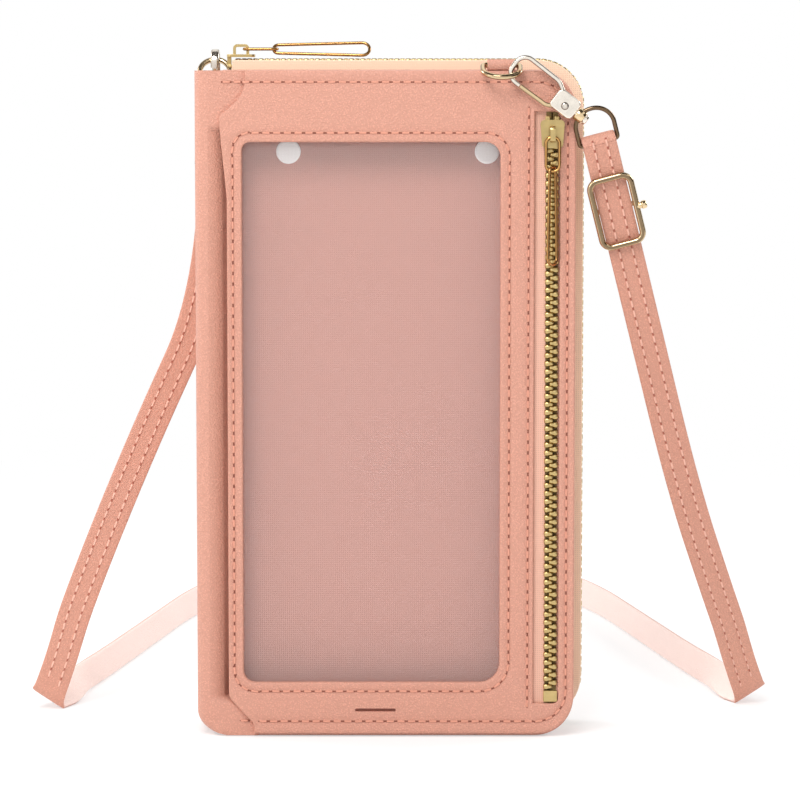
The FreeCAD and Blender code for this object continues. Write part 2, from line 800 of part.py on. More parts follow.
def strap_end(at, aim):
    """The swivel eye at a hook: its centre, and the strap's direction, facing and width there."""
    collar = at(collar_mid, 0)
    run = V(aim)
    run.normalize()
    facing = across(run, FACE_FRONT)
    up = across(facing, at(0, 0) - collar)
    return collar - up * eye_r, run, facing, facing.cross(run)


def make_eye(at, end):
    """A swivel eye: a D of wire whose bar holds the strap and whose collar turns on the hook's neck."""
    centre, run, facing, width = end
    ring = wire_form(ring_points(eye_r, -eye_bar_drop, eye_r, eye_corner, eye_r - ring_play),
                     in_plane(centre, width, -run), eye_wire)
    start = barrel_end + collar_gap
    collar = rod(at(start, 0), at(start + collar_length, 0), collar_r)
    clear = rod(at(barrel_start, 0), at(start + collar_length + eye_r, 0), neck_r + neck_play)
    end_of_collar = start + collar_length
    head_room = rod(at(end_of_collar, 0), at(end_of_collar + eye_r, 0), neck_head_r + neck_play)
    return ring.fuse(collar).cut([clear, head_room])


def make_strap_loop(end, sewn):
    """The strap's ply round the eye's bar, and its return behind the strap."""
    centre, run, facing, width = end
    bar = centre + run * eye_bar_drop
    at = in_plane(bar - width * (strap_width / 2), run, facing)
    drawn = at(0, 0, strap_width) - at(0, 0)
    if drawn.dot(width) < 0:
        at = in_plane(bar + width * (strap_width / 2), run, facing)
    outer, inner = strap_bore + strap_t, strap_bore
    arcs = [Part.Arc(at(0, outer), at(-outer, 0), at(0, -outer)).toShape(),
            Part.LineSegment(at(0, -outer), at(sewn, -outer)).toShape(),
            Part.LineSegment(at(sewn, -outer), at(sewn, -inner)).toShape(),
            Part.LineSegment(at(sewn, -inner), at(0, -inner)).toShape(),
            Part.Arc(at(0, -inner), at(-inner, 0), at(0, inner)).toShape(),
            Part.LineSegment(at(0, inner), at(0, outer)).toShape()]
    return Part.Face(Part.Wire(arcs)).extrude(at(0, 0, strap_width) - at(0, 0))


def strap_path(points):
    """Stations along straight runs joined by tangent arcs, each with its tangent; prints the radii."""
    stations = [(points[0], points[1] - points[0])]
    radii = []
    for before, corner, after in zip(points, points[1:], points[2:]):
        back, ahead = before - corner, after - corner
        reach = fold_share * min(back.Length, ahead.Length)
        back.normalize()
        ahead.normalize()
        turn = math.pi - back.getAngle(ahead)
        radius = reach / math.tan(turn / 2)
        radii.append(radius)
        towards = back + ahead
        towards.normalize()
        centre = corner + towards * (radius / math.cos(turn / 2))
        first = corner + back * reach
        axis = back.cross(ahead)
        for share in arc_shares:
            spin = FreeCAD.Rotation(-axis, math.degrees(turn * share))
            stations.append((centre + spin.multVec(first - centre), spin.multVec(-back)))
    stations.append((points[-1], points[-1] - points[-2]))
    print("strap arc radii", [round(r, 1) for r in radii])
    return stations


def make_strap(points, facings):
    """A flat band lofted through its stations, turning from face to face between the route's points.

    It is lofted in short runs that are then joined, so that each keeps its corners in order.
    """
    stations = strap_path(points)
    lengths = [0.0]
    for (a, _), (b, _) in zip(stations, stations[1:]):
        lengths.append(lengths[-1] + (b - a).Length)
    count = len(arc_shares)
    middle = 1 + count // 2
    marks = [lengths[0]] + [lengths[count * i + middle] for i in range(len(points) - 2)] + [lengths[-1]]
    sections = []
    for (point, tangent), length in zip(stations, lengths):
        tangent.normalize()
        i = max(j for j in range(len(marks) - 1) if marks[j] <= length)
        share = (length - marks[i]) / (marks[i + 1] - marks[i])
        normal = across(tangent, facings[i] * (1 - share) + facings[i + 1] * share)
        half_w, half_t = tangent.cross(normal) * (strap_width / 2), normal * (strap_t / 2)
        front, back = point + half_t, point - half_t
        corners = [front + half_w, front - half_w, back - half_w, back + half_w]
        sections.append(Part.makePolygon(corners + corners[:1]))
    starts = range(0, len(sections) - 1, count)
    runs = [Part.makeLoft(sections[i:i + count + 1], True, True) for i in starts]
    band = runs[0].fuse(runs[1:])
    print("strap length", round(lengths[-1], 1), "volume", round(band.Volume),
          "of", round(lengths[-1] * strap_width * strap_t))
    return band


ends = {"right": strap_end(hooks["right"], aim_right), "left": strap_end(hooks["left"], aim_left)}
for side, at in hooks.items():
    nodes["eye_" + side] = make_eye(at, ends[side])
nodes["strap_return_right"] = make_strap_loop(ends["right"], strap_return_length)
nodes["strap_return_left"] = make_strap_loop(ends["left"], strap_sewn_length)


def strap_start(end):
    centre, run, facing, _ = end
    return centre + run * eye_bar_drop + facing * (strap_bore + strap_t / 2)


def run_facing(point):
    """Forwards where the band hangs, down at the folds, and outwards where it stands on the floor."""
    if point.z > strap_width:
        return FACE_FRONT
    if point.y < fold_y:
        return FACE_FOLD
    outward = V(point.x, max(point.y - bend_y, 0), 0)
    outward.normalize()
    return outward


start, finish = strap_start(ends["right"]), strap_start(ends["left"])
below_right, below_left = start + ends["right"][1] * first_right, finish + ends["left"][1] * first_left
inner_route = [below_right] + route_right + route_back + route_left + [below_left]
route = [start] + inner_route + [finish]
facings = [ends["right"][2]]
facings += [run_facing(point) for point in inner_route]
facings.append(ends["left"][2])
nodes["strap"] = make_strap(route, facings)


# The buckle, which rides on the straight stretch below the right eye

def make_buckle():
    centre, run, facing, width = ends["right"]
    origin = strap_start(ends["right"]) + run * buckle_down
    level = strap_t / 2 + buckle_gap + buckle_wire
    side = strap_width / 2 + buckle_side_gap + buckle_bar_r
    at = in_plane(origin + facing * level, width, run)
    outline = ring_points(side, -buckle_half, buckle_half, buckle_corner, buckle_corner)
    frame = wire_form(outline, at, buckle_wire)
    knob = rod(at(side, 0), at(side + buckle_wire + knob_length, 0), knob_r)
    depth = level + strap_t / 2 + buckle_bar_r + ring_play
    bend = in_plane(at(0, 0), width, facing)
    elbow = buckle_bar_r + ring_play
    staple = [(-side, 0, 0), (-side, -depth, elbow), (side, -depth, elbow), (side, 0, 0)]
    frame = frame.fuse(knob)
    return frame, wire_form(staple, bend, buckle_bar_r, False).cut(frame)


nodes["buckle_frame"], nodes["buckle_bar"] = make_buckle()


joint_places = {
    "cover hinge": V(hinge_x, back_y, 0), "main link": main_hinge, "main loop": main_hang(link_length, 0),
    "coin link": coin_hinge, "coin loop": coin_hang(link_length, 0), "right ring": right_bar,
    "left ring": left_bar, "right hook": right_claw, "left hook": left_claw, "right hook axis": right_along,
    "right gate": hooks["right"](gate_pivot, gate_offset), "strap run": ends["right"][1],
    "left gate": hooks["left"](gate_pivot, gate_offset), "strap start": start, "strap end": finish}
for name, place in joint_places.items():
    print(name, [round(value, 4) for value in place])
os.makedirs("parts", exist_ok=True)
for name, shape in nodes.items():
    shape.exportStep("parts/%s.step" % name)
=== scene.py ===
"""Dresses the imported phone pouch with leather, stitching, zips, hardware and its strap, on a pale stage.

Lengths are metres in the part's own frame: +Z up, the window faces -Y and the spine is at -X.
"""
import json

import bmesh
import bpy
import numpy as np
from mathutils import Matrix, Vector


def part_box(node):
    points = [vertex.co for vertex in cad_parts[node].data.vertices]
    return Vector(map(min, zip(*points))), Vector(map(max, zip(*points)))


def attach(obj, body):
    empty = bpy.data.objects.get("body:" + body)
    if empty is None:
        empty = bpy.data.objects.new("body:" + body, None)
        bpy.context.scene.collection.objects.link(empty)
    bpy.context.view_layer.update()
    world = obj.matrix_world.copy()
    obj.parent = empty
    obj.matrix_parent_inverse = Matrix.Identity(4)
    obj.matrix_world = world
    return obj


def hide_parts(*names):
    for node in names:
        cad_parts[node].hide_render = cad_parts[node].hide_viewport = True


bl_info = {
    "name": "Phone Pouch",
    "version": (1, 0, 0),
    "blender": (4, 5, 0),
    "location": "View3D > Sidebar > Pouch",
    "description": "Dresses a packed phone pouch with leather, zips, hardware and a strap",
    "category": "Object",
}

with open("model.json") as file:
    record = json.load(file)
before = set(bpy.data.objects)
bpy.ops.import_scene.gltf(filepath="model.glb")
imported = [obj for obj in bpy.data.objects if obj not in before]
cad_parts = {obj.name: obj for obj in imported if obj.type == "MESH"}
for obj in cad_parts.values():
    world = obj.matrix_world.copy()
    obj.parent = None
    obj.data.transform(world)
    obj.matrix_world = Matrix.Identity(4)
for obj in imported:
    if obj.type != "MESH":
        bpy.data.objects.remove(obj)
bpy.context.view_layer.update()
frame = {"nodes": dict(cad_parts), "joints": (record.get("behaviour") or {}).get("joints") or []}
JOINTS = {joint["name"]: joint for joint in frame["joints"]}
MM = 0.001
X, Y, Z = np.eye(3)


def low(node):
    """The low corner of a node's box."""
    return np.array(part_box(node)[0])


def high(node):
    """The high corner of a node's box."""
    return np.array(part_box(node)[1])


def pivot(joint):
    """The point that a joint turns about or slides from."""
    return np.array(JOINTS[joint]["pos_m"])


# Places read from the frame
FRONT = low("window_frame")[1]
FRAME_BACK = high("window_frame")[1]
FRAME_RIGHT = high("window_frame")[0]
COVER_TOP = high("front_panel")[2]
COVER_RIGHT = high("front_panel")[0]
SPINE_LEFT = low("spine")[0]
SPINE_RIGHT = high("spine")[0]
SPINE_FRONT = low("spine")[1]
POCKET_LEFT = low("pocket_wall")[0]
ZIP_TOP = high("main_tape_front")[2]
ZIP_RIGHT = high("main_tape_front")[0]
ZIP_LOW = low("main_tape_front")[2]
CORNER_R = 11.0 * MM
SHARP_ANGLE = np.radians(50)


# Sizes and colours that a user would change

def colour_setting(name, description, default):
    return bpy.props.FloatVectorProperty(name=name, description=description, subtype="COLOR", size=3,
                                         default=default)


def length_setting(name, description, default):
    return bpy.props.FloatProperty(name=name, description=description, subtype="DISTANCE", unit="LENGTH",
                                   default=default)


class PouchLeather(bpy.types.PropertyGroup):
    """The leather and what lines it."""
    colour: colour_setting("Leather", "Colour of the outer leather", (0.655, 0.312, 0.226))
    tape: colour_setting("Tape", "Colour of the zip tapes", (0.84, 0.62, 0.46))
    coin_tape: colour_setting("Coin tape", "Colour of the coin zip's tapes", (0.74, 0.44, 0.34))
    # Darker than the leather: partly the lining's own pink, partly painted shade of the pocket's inside.
    lining: colour_setting("Lining", "Colour of the cloth inside", (0.46, 0.21, 0.165))
    strap: colour_setting("Strap", "Colour of the strap's face", (0.66, 0.31, 0.22))
    strap_back: colour_setting("Strap back", "Colour of the strap's pale back", (0.91, 0.73, 0.67))
    grain: length_setting("Grain", "Size of one pebble of the grain", 0.8 * MM)
    edge: length_setting("Edge", "Rounding of the leather's cut edges", 0.4 * MM)
    puff: length_setting("Puff", "How far the leather swells between seams", 0.25 * MM)


class PouchSewing(bpy.types.PropertyGroup):
    """The stitches."""
    thread: colour_setting("Thread", "Colour of the thread on the case", (0.68, 0.32, 0.23))
    strap_thread: colour_setting("Strap thread", "Colour of the thread on the strap", (0.80, 0.46, 0.36))
    # Painted shade in the needle holes
    hole: colour_setting("Hole", "Colour in the needle holes", (0.20, 0.06, 0.04))
    pitch: length_setting("Pitch", "From one stitch to the next", 3.0 * MM)
    thick: length_setting("Thickness", "Thickness of the thread", 0.6 * MM)


class PouchMetal(bpy.types.PropertyGroup):
    """The zips and hardware."""
    brass: colour_setting("Zip", "Colour of the zip teeth and sliders", (0.60, 0.45, 0.20))
    gold: colour_setting("Rings", "Colour of the rings and the buckle", (0.86, 0.66, 0.40))
    pull: colour_setting("Pulls", "Colour of the zip pulls", (0.66, 0.36, 0.12))
    silver: colour_setting("Hooks", "Colour of the snap hooks", (0.95, 0.88, 0.78))
    # Painted dark reflection on the metal's flanks and painted shade between zip teeth; the eye ring takes it
    # as its own dark bronze.
    bronze_and_painted_shade: colour_setting("Patina", "Colour of the darkened flanks", (0.10, 0.055, 0.03))


class PouchStage(bpy.types.PropertyGroup):
    """The floor, the light and the camera."""
    floor: colour_setting("Floor", "Colour of the floor", (0.95, 0.95, 0.95))
    eye: bpy.props.FloatVectorProperty(
        name="Eye", description="Where the camera stands", subtype="XYZ", unit="LENGTH", size=3,
        default=(0.0026, -1.0131, 0.1931))
    tilt: bpy.props.FloatProperty(
        name="Tilt", description="How far the camera looks down", subtype="ANGLE", unit="ROTATION",
        default=np.radians(5.5))
    lens: bpy.props.FloatProperty(
        name="Lens", description="Focal length on a 36 mm sensor", default=159.1)


# Lines and grids

LINE_STEP, PLATE_STEP, SWEEP_STEP = 0.8 * MM, 0.2 * MM, 1.0 * MM
TINY, LEAST_ARC = 1e-9, 4
WIRE_ARC_STEP, WIRE_STEP, WIRE_LEAST, WIRE_SIDES = 0.15 * MM, 0.3 * MM, 60, 20
LATHE_SIDES, NEAR_X = 24, 0.8
EDGE_ANGLES = np.radians([90, 60, 30, 0])
# A rounded edge takes at most so much of a thickness, and its middle stands in by a share of its radius.
EDGE_MOST_SHARE, EDGE_MID_SHARE = 0.49, 0.3
CORNER_EDGES = 2.5


def unit(vectors):
    return vectors / np.linalg.norm(vectors, axis=-1, keepdims=True)


def rounded(corners, closed=True, step=LINE_STEP):
    """Points of an outline through (p, q, radius) corners: straight runs joined by tangent arcs.

    An arc's reach along each run is radius x tan(half the turn); its points lie about one step apart.
    """
    corners = np.asarray(corners, float)
    flat, radii = corners[:, :2], corners[:, 2]
    back = unit(np.roll(flat, 1, 0) - flat)
    ahead = unit(np.roll(flat, -1, 0) - flat)
    turn = np.pi - np.arccos(np.clip((back * ahead).sum(1), -1, 1))
    way = np.sign(back[:, 1] * ahead[:, 0] - back[:, 0] * ahead[:, 1])
    reach = radii * np.tan(turn / 2)
    if not closed:
        reach[[0, -1]] = 0
    points = []
    for i in range(len(flat)):
        if reach[i] < TINY:
            points.append(flat[i:i + 1])
            continue
        centre = flat[i] + unit(back[i] + ahead[i]) * radii[i] / np.cos(turn[i] / 2)
        arm = flat[i] + back[i] * reach[i] - centre
        t = way[i] * turn[i] * np.linspace(0, 1, max(LEAST_ARC, int(radii[i] * turn[i] / step) + 1))
        across = np.array([-arm[1], arm[0]])
        points.append(centre + np.cos(t)[:, None] * arm + np.sin(t)[:, None] * across)
    return np.concatenate(points)


def steps_of(points):
    """The lengths from each point of a line to the next."""
    return np.linalg.norm(np.diff(points, axis=0), axis=1)


def length_of(points):
    return steps_of(points).sum()


def run_of(points):
    """The length along a line up to each of its points."""
    return np.concatenate([[0], np.cumsum(steps_of(points))])


def placed(points, lengths):
    """The points of an open line at given lengths along it."""
    run = run_of(points)
    return np.stack([np.interp(lengths, run, column) for column in points.T], 1)


def resample(points, count, closed=False):
    """The same line as so many points, evenly spaced along its length."""
    line = np.vstack([points, points[:1]]) if closed else points
    return placed(line, np.linspace(0, run_of(line)[-1], count, endpoint=not closed))


def spaced(points, step):
    """The same line as points about one step apart."""
    return resample(points, max(2, int(length_of(points) / step)))


def tangents(points, closed=False):
    if closed:
        return unit(np.roll(points, -1, 0) - np.roll(points, 1, 0))
    return unit(np.gradient(points, axis=0))


def outward(loop, closed=True):
    """Normals to the right of a flat line, which point out of an anticlockwise loop."""
    along = tangents(loop, closed)
    return np.stack([along[:, 1], -along[:, 0]], 1)


def upright(flat, y):
    """Points of the X and Z plane, set at a depth y."""
    return np.stack([flat[:, 0], np.broadcast_to(y, flat.shape[:1]), flat[:, 1]], 1)


def plane_points(flat, origin, a, b):
    """Flat points set in the plane of two directions."""
    return origin + flat[:, :1] * a + flat[:, 1:2] * b


def smooth(value, start, stop):
    """A smooth step: 0 at the start, 1 at the stop, 3 s^2 - 2 s^3 between."""
    s = np.clip((value - start) / (stop - start), 0, 1)
    return s * s * (3 - 2 * s)


def quads(nu, nv, wrap_u, wrap_v):
    """Corner numbers of the cells of an nu by nv grid, joined round where it wraps."""
    u = np.arange(nu if wrap_u else nu - 1)[:, None]
    v = np.arange(nv if wrap_v else nv - 1)[None, :]
    u1, v1 = (u + 1) % nu, (v + 1) % nv
    return np.stack([u * nv + v, u1 * nv + v, u1 * nv + v1, u * nv + v1], -1).reshape(-1, 4)


def grid_mesh(grid, wrap_u=False, wrap_v=True, mark=0.0):
    """Points, faces and marks of a grid; an open run of closed rings is capped at both ends."""
    nu, nv = grid.shape[:2]
    faces = quads(nu, nv, wrap_u, wrap_v).tolist()
    if wrap_v and not wrap_u:
        faces += [list(range(nv)), list(range((nu - 1) * nv, nu * nv))]
    return grid.reshape(-1, 3), faces, np.broadcast_to(mark, (nu, nv)).ravel()


def join(*meshes):
    """Several meshes as one."""
    points, faces, marks, base = [], [], [], 0
    for some, cells, shades in meshes:
        points.append(some)
        marks.append(shades)
        faces += [[base + i for i in cell] for cell in cells]
        base += len(some)
    return np.concatenate(points), faces, np.concatenate(marks)


def add_object(name, data):
    """A new object in the scene, at the origin."""
    obj = bpy.data.objects.new(name, data)
    bpy.context.scene.collection.objects.link(obj)
    return obj


def piece(name, mesh, material, body, slot, *nodes):
    """Makes an object at the origin, turns its faces outwards, and ties it to the frame."""
    points, faces, marks = mesh
    data = bpy.data.meshes.new(name)
    data.from_pydata(points.tolist(), [], faces)
    shell = bmesh.new()
    shell.from_mesh(data)
    bmesh.ops.recalc_face_normals(shell, faces=shell.faces)
    shell.to_mesh(data)
    shell.free()
    if np.any(marks):
        layer = data.attributes.new("mark", "FLOAT", "POINT")
        layer.data.foreach_set("value", np.asarray(marks, np.float32))
    data.shade_smooth()
    data.set_sharp_from_angle(angle=SHARP_ANGLE)
    obj = add_object(name, data)
    data.materials.append(material)
    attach(obj, body)
    if nodes:
        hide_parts(*nodes)
    return obj


def sweep(path, side, out, profile, closed=False, mark=0.0):
    """A closed profile of (side, out) lengths carried along a path with two directions at each point."""
    grid = path[:, None] + side[:, None] * profile[None, :, :1] + out[:, None] * profile[None, :, 1:]
    return grid_mesh(grid, wrap_u=closed, mark=mark)


def signed_power(value, power):
    return np.sign(value) * np.abs(value) ** power


def round_profile(width, thick, power, count):
    """A superellipse: (cos^(2/n), sin^(2/n)) with signs kept, of a width and a thickness."""
    t = np.linspace(0, 2 * np.pi, count, endpoint=False) + np.pi / count
    return np.stack([signed_power(np.cos(t), 2 / power) * width / 2,
                     signed_power(np.sin(t), 2 / power) * thick / 2], 1)


# Where the bell of painted dark reflection sits on a round bar's flanks, and how wide it is
FLANK_AT, FLANK_SPREAD = 0.72, 0.2


def painted_flank_reflection(side):
    """How much painted dark reflection a round bar takes at a share of its half width: a bell about the
    flank.
    """
    return np.exp(-((np.abs(side) - FLANK_AT) / FLANK_SPREAD) ** 2)


def tube(path, radius, normal, closed=False):
    """A round wire: circles square to a flat path in a plane with the given normal; its flanks are marked
    with painted dark reflection.
    """
    along = tangents(path, closed)
    out = np.broadcast_to(normal, path.shape)
    t = np.linspace(0, 2 * np.pi, WIRE_SIDES, endpoint=False)
    circle = radius * np.stack([np.cos(t), np.sin(t)], 1)
    return sweep(path, unit(np.cross(along, out)), out, circle, closed, painted_flank_reflection(np.cos(t)))


def lathe(origin, axis, profile, count=LATHE_SIDES, mark=0.0):
    """A profile of (along, radius) turned about an axis."""
    side = unit(np.cross(axis, X if abs(axis[0]) < NEAR_X else Y))
    t = np.linspace(0, 2 * np.pi, count, endpoint=False)
    ring = np.cos(t)[:, None] * side + np.sin(t)[:, None] * np.cross(axis, side)
    profile = np.asarray(profile)
    grid = origin + profile[:, None, :1] * axis + profile[:, None, 1:] * ring[None]
    return grid_mesh(grid, mark=np.broadcast_to(mark, len(profile))[:, None])


def pillow(loop, steps):
    """A plate from nested copies of a closed loop: each step is (inset, depth), and the ends are capped.

    A copy's point is the loop's point - inset x its outward normal.
    """
    normals = outward(loop)
    return grid_mesh(np.stack([upright(loop - normals * inset, depth) for inset, depth in steps]))


def edge_steps(front, back, edge):
    """Insets and depths of a plate with both its edges rounded: quarter circles of the edge radius."""
    edge = min(edge, (back - front) * EDGE_MOST_SHARE)
    near = [(edge * (1 - np.cos(a)), front + edge * (1 - np.sin(a))) for a in EDGE_ANGLES]
    far = [(edge * (1 - np.cos(a)), back - edge * (1 - np.sin(a))) for a in EDGE_ANGLES[::-1]]
    return [(2 * edge, front)] + near + far + [(2 * edge, back)]


def plate(corners, front, back, edge):
    """A plate with rounded corners and edges, in the X and Z plane."""
    corners = [(p, q, max(radius, CORNER_EDGES * edge)) for p, q, radius in corners]
    return pillow(rounded(corners, step=PLATE_STEP), edge_steps(front, back, edge))


def rect(x0, x1, z0, z1, radius):
    return [(x0, z0, radius), (x1, z0, radius), (x1, z1, radius), (x0, z1, radius)]


def closed_wire(corners, origin, a, b, radius):
    """A closed wire form through rounded corners in the plane of two directions."""
    flat = rounded(corners, step=WIRE_ARC_STEP)
    flat = resample(flat, max(WIRE_LEAST, int(length_of(flat) / WIRE_STEP)), True)
    return tube(plane_points(flat, origin, a, b), radius, np.cross(a, b), True)


def d_corners(half, bar, crown, corner, round_r):
    """A D: a straight bar with two small corners, and a round crown."""
    return [(-half, bar, corner), (half, bar, corner), (half, crown, round_r), (-half, crown, round_r)]


def copies(points, cells, ring, marks):
    """One capped run of rings repeated: points are (copies, points of one, 3)."""
    count, each = points.shape[:2]
    base = (np.arange(count) * each)[:, None, None]
    caps = np.stack([np.arange(ring), np.arange(each - ring, each)])
    faces = (cells[None] + base).reshape(-1, 4).tolist() + (caps[None] + base).reshape(-1, ring).tolist()
    return points.reshape(-1, 3), faces, marks


THREAD_SIDES = 6
THREAD_WAIST_SHARE, THREAD_PROUD_SHARE = 0.8, 1 / 3
STITCH_SHARES = np.array([0.0, 0.12, 0.2, 0.5, 0.8, 0.88, 1.0])
# Where each stitch takes painted shade of its needle holes
STITCH_HOLE_SHADE = np.array([1.0, 0.9, 0.0, 0.0, 0.0, 0.9, 1.0])


def stitch_mesh(path, face, pitch, thick):
    """A row of stitches: one thread of six-sided rings, set end to end along a path at each pitch.

    A ring at share s has the radius thick / 2 x (waist + (1 - waist) sin(pi s)) and stands proud by
    thick x proud share x sin(pi s). Its mark is 1 at both ends: painted shade in the needle holes.
    """
    count = max(2, int(length_of(path) / pitch))
    centres = resample(path, count)
    faces_at = unit(resample(np.column_stack([path, np.broadcast_to(face, path.shape)]), count)[:, 3:])
    along = tangents(centres)
    side = unit(np.cross(along, faces_at))
    rise = np.sin(np.pi * STITCH_SHARES)
    t = np.linspace(0, 2 * np.pi, THREAD_SIDES, endpoint=False)
    radius = thick / 2 * (THREAD_WAIST_SHARE + (1 - THREAD_WAIST_SHARE) * rise)[:, None]
    u = np.repeat((STITCH_SHARES - 0.5) * pitch, THREAD_SIDES)
    v = (radius * np.cos(t)).ravel()
    w = (radius * np.sin(t) + thick * THREAD_PROUD_SHARE * rise[:, None]).ravel()
    points = (centres[:, None] + along[:, None] * u[None, :, None] + side[:, None] * v[None, :, None]
              + faces_at[:, None] * w[None, :, None])
    marks = np.tile(np.repeat(STITCH_HOLE_SHADE, THREAD_SIDES), count)
    return copies(points, quads(len(STITCH_SHARES), THREAD_SIDES, False, True), THREAD_SIDES, marks)


# Materials

NOISE_DETAIL, NOISE_ROUGH, EVEN_SPREAD = 3.0, 0.6, (0.3, 0.7)
HIDE_ROUGH, HIDE_CELLS, HIDE_FINE, HIDE_RANDOM = 0.45, 1.4, 2.0, 0.9
HIDE_DARK_SHARE, HIDE_PALE_SHARE, HIDE_SPREAD = 0.86, 1.06, (-0.1, 0.4)
HIDE_BUMP, HIDE_RAISE = 0.8, 0.2 * MM
CLOTH_ROUGH, CLOTH_WAVES, CLOTH_WOBBLE, CLOTH_SHINE = 0.85, 0.314, 0.4, 0.2
CLOTH_DARK_SHARE, CLOTH_PALE_SHARE, CLOTH_RAISE = 0.88, 1.04, 0.1 * MM
CLOTH_BUMP, TAPE_BUMP, COIN_BUMP, THREAD_BUMP = 0.5, 0.4, 0.3, 0.3
WEAVE, TWIST = 0.6 * MM, 0.3 * MM
# Shares of the brass for the painted shadow under the coin chain, and of the hole colour for the strap's
# paler painted hole shade
COIN_SHADOW_SHARE, STRAP_HOLE_SHADE_SHARE = 0.45, 1.8
WEAR_SCALE, WEAR_DARK_SHARE = 0.6 / MM, 0.88
# Each metal's colour setting, roughness and wear
METALS = {"teeth_brass": ("brass", 0.25, 0.15), "ring_gold": ("gold", 0.12, 0.1),
          "pull_gold": ("pull", 0.15, 0.1), "hook_steel": ("silver", 0.14, 0.1)}
WELD_GAP, BEVEL_STEPS = 0.002 * MM, 2


def shader(name, colour, roughness, metallic=0.0):
    """A new material and its nodes, links and main shader."""
    material = bpy.data.materials.new(name)
    material.use_nodes = True
    nodes, links = material.node_tree.nodes, material.node_tree.links
    surface = nodes["Principled BSDF"]
    surface.inputs["Base Color"].default_value = (*colour, 1)
    surface.inputs["Roughness"].default_value = roughness
    surface.inputs["Metallic"].default_value = metallic
    return material, nodes, links, surface


def texture(nodes, links, kind, scale, **inputs):
    """A texture node on Object coordinates."""
    place = nodes.new("ShaderNodeTexCoord")
    node = nodes.new(kind)
    links.new(place.outputs["Object"], node.inputs["Vector"])
    node.inputs["Scale"].default_value = scale
    for key, value in inputs.items():
        node.inputs[key].default_value = value
    return node


def math_node(nodes, links, operation, first, second):
    """The result of an operation on two values."""
    node = nodes.new("ShaderNodeMath")
    node.operation = operation
    links.new(first, node.inputs[0])
    links.new(second, node.inputs[1])
    return node.outputs["Value"]


def vary_gloss(nodes, links, factor, surface, least, most):
    """Makes the surface's roughness run from the least to the most with a factor."""
    span = nodes.new("ShaderNodeMapRange")
    span.inputs["To Min"].default_value = least
    span.inputs["To Max"].default_value = most
    links.new(factor, span.inputs["Value"])
    links.new(span.outputs["Result"], surface.inputs["Roughness"])


def tint(nodes, links, factor, dark, pale, spread=EVEN_SPREAD):
    """A colour ramp between two colours."""
    ramp = nodes.new("ShaderNodeValToRGB")
    ramp.color_ramp.elements[0].position, ramp.color_ramp.elements[1].position = spread
    ramp.color_ramp.elements[0].color = (*dark, 1)
    ramp.color_ramp.elements[1].color = (*pale, 1)
    links.new(factor, ramp.inputs["Fac"])
    return ramp.outputs["Color"]


def marked(nodes, links, plain, colour, surface):
    """Colours the surface: a plain colour output, and another colour where the mesh is marked."""
    mark = nodes.new("ShaderNodeAttribute")
    mark.attribute_name = "mark"
    mix = nodes.new("ShaderNodeMix")
    mix.data_type = "RGBA"
    links.new(mark.outputs["Fac"], mix.inputs["Factor"])
    links.new(plain, mix.inputs["A"])
    mix.inputs["B"].default_value = (*colour, 1)
    links.new(mix.outputs["Result"], surface.inputs["Base Color"])


def bump(nodes, links, height, surface, strength, distance):
    node = nodes.new("ShaderNodeBump")
    node.inputs["Strength"].default_value = strength
    node.inputs["Distance"].default_value = distance
    links.new(height, node.inputs["Height"])
    links.new(node.outputs["Normal"], surface.inputs["Normal"])


def shade_of(colour, share):
    """A colour times a share, up to white."""
    return tuple(min(1.0, float(c) * share) for c in colour)


def pebbled_leather(name, colour, grain, back):
    """Leather: fine domed cells raise its face and tint it a little; marked places have the back's colour.

    A dome is a fine noise less the distance to its cell's middle.
    """
    material, nodes, links, surface = shader(name, colour, HIDE_ROUGH)
    cells = texture(nodes, links, "ShaderNodeTexVoronoi", HIDE_CELLS / grain, Randomness=HIDE_RANDOM)
    fine = texture(nodes, links, "ShaderNodeTexNoise", HIDE_FINE / grain, Detail=NOISE_DETAIL,
                   Roughness=NOISE_ROUGH)
    dome = math_node(nodes, links, "SUBTRACT", fine.outputs["Fac"], cells.outputs["Distance"])
    face = tint(nodes, links, dome, shade_of(colour, HIDE_DARK_SHARE), shade_of(colour, HIDE_PALE_SHARE),
                HIDE_SPREAD)
    marked(nodes, links, face, back, surface)
    bump(nodes, links, dome, surface, HIDE_BUMP, HIDE_RAISE)
    return material


def woven(name, colour, thread, strength=CLOTH_BUMP, other=None):
    """Cloth: two crossed waves of threads; marked places have another colour."""
    material, nodes, links, surface = shader(name, colour, CLOTH_ROUGH)
    waves = []
    for direction in ("X", "Z"):
        wave = texture(nodes, links, "ShaderNodeTexWave", CLOTH_WAVES / thread, Distortion=CLOTH_WOBBLE)
        wave.bands_direction = direction
        waves.append(wave.outputs["Fac"])
    cross = math_node(nodes, links, "MAXIMUM", *waves)
    cloth = tint(nodes, links, cross, shade_of(colour, CLOTH_DARK_SHARE), shade_of(colour, CLOTH_PALE_SHARE))
    if other is None:
        links.new(cloth, surface.inputs["Base Color"])
    else:
        marked(nodes, links, cloth, other, surface)
    bump(nodes, links, cross, surface, strength, CLOTH_RAISE)
    surface.inputs["Specular IOR Level"].default_value = CLOTH_SHINE
    return material


def metal(name, colour, roughness, wear):
    """Polished metal with faint wear in its gloss and colour; its marked places take the dark colour: painted
    dark reflection and shade, and the eye ring's own dark bronze.
    """
    material, nodes, links, surface = shader(name, colour, roughness, 1.0)
    haze = texture(nodes, links, "ShaderNodeTexNoise", WEAR_SCALE, Detail=NOISE_DETAIL).outputs["Fac"]
    vary_gloss(nodes, links, haze, surface, roughness, roughness + wear)
    worn = tint(nodes, links, haze, shade_of(colour, WEAR_DARK_SHARE), colour)
    marked(nodes, links, worn, bpy.context.scene.pouch_metal.bronze_and_painted_shade, surface)
    return material


def cached(name, make):
    """A material made once and used by name after that."""
    return bpy.data.materials.get(name) or make(name)


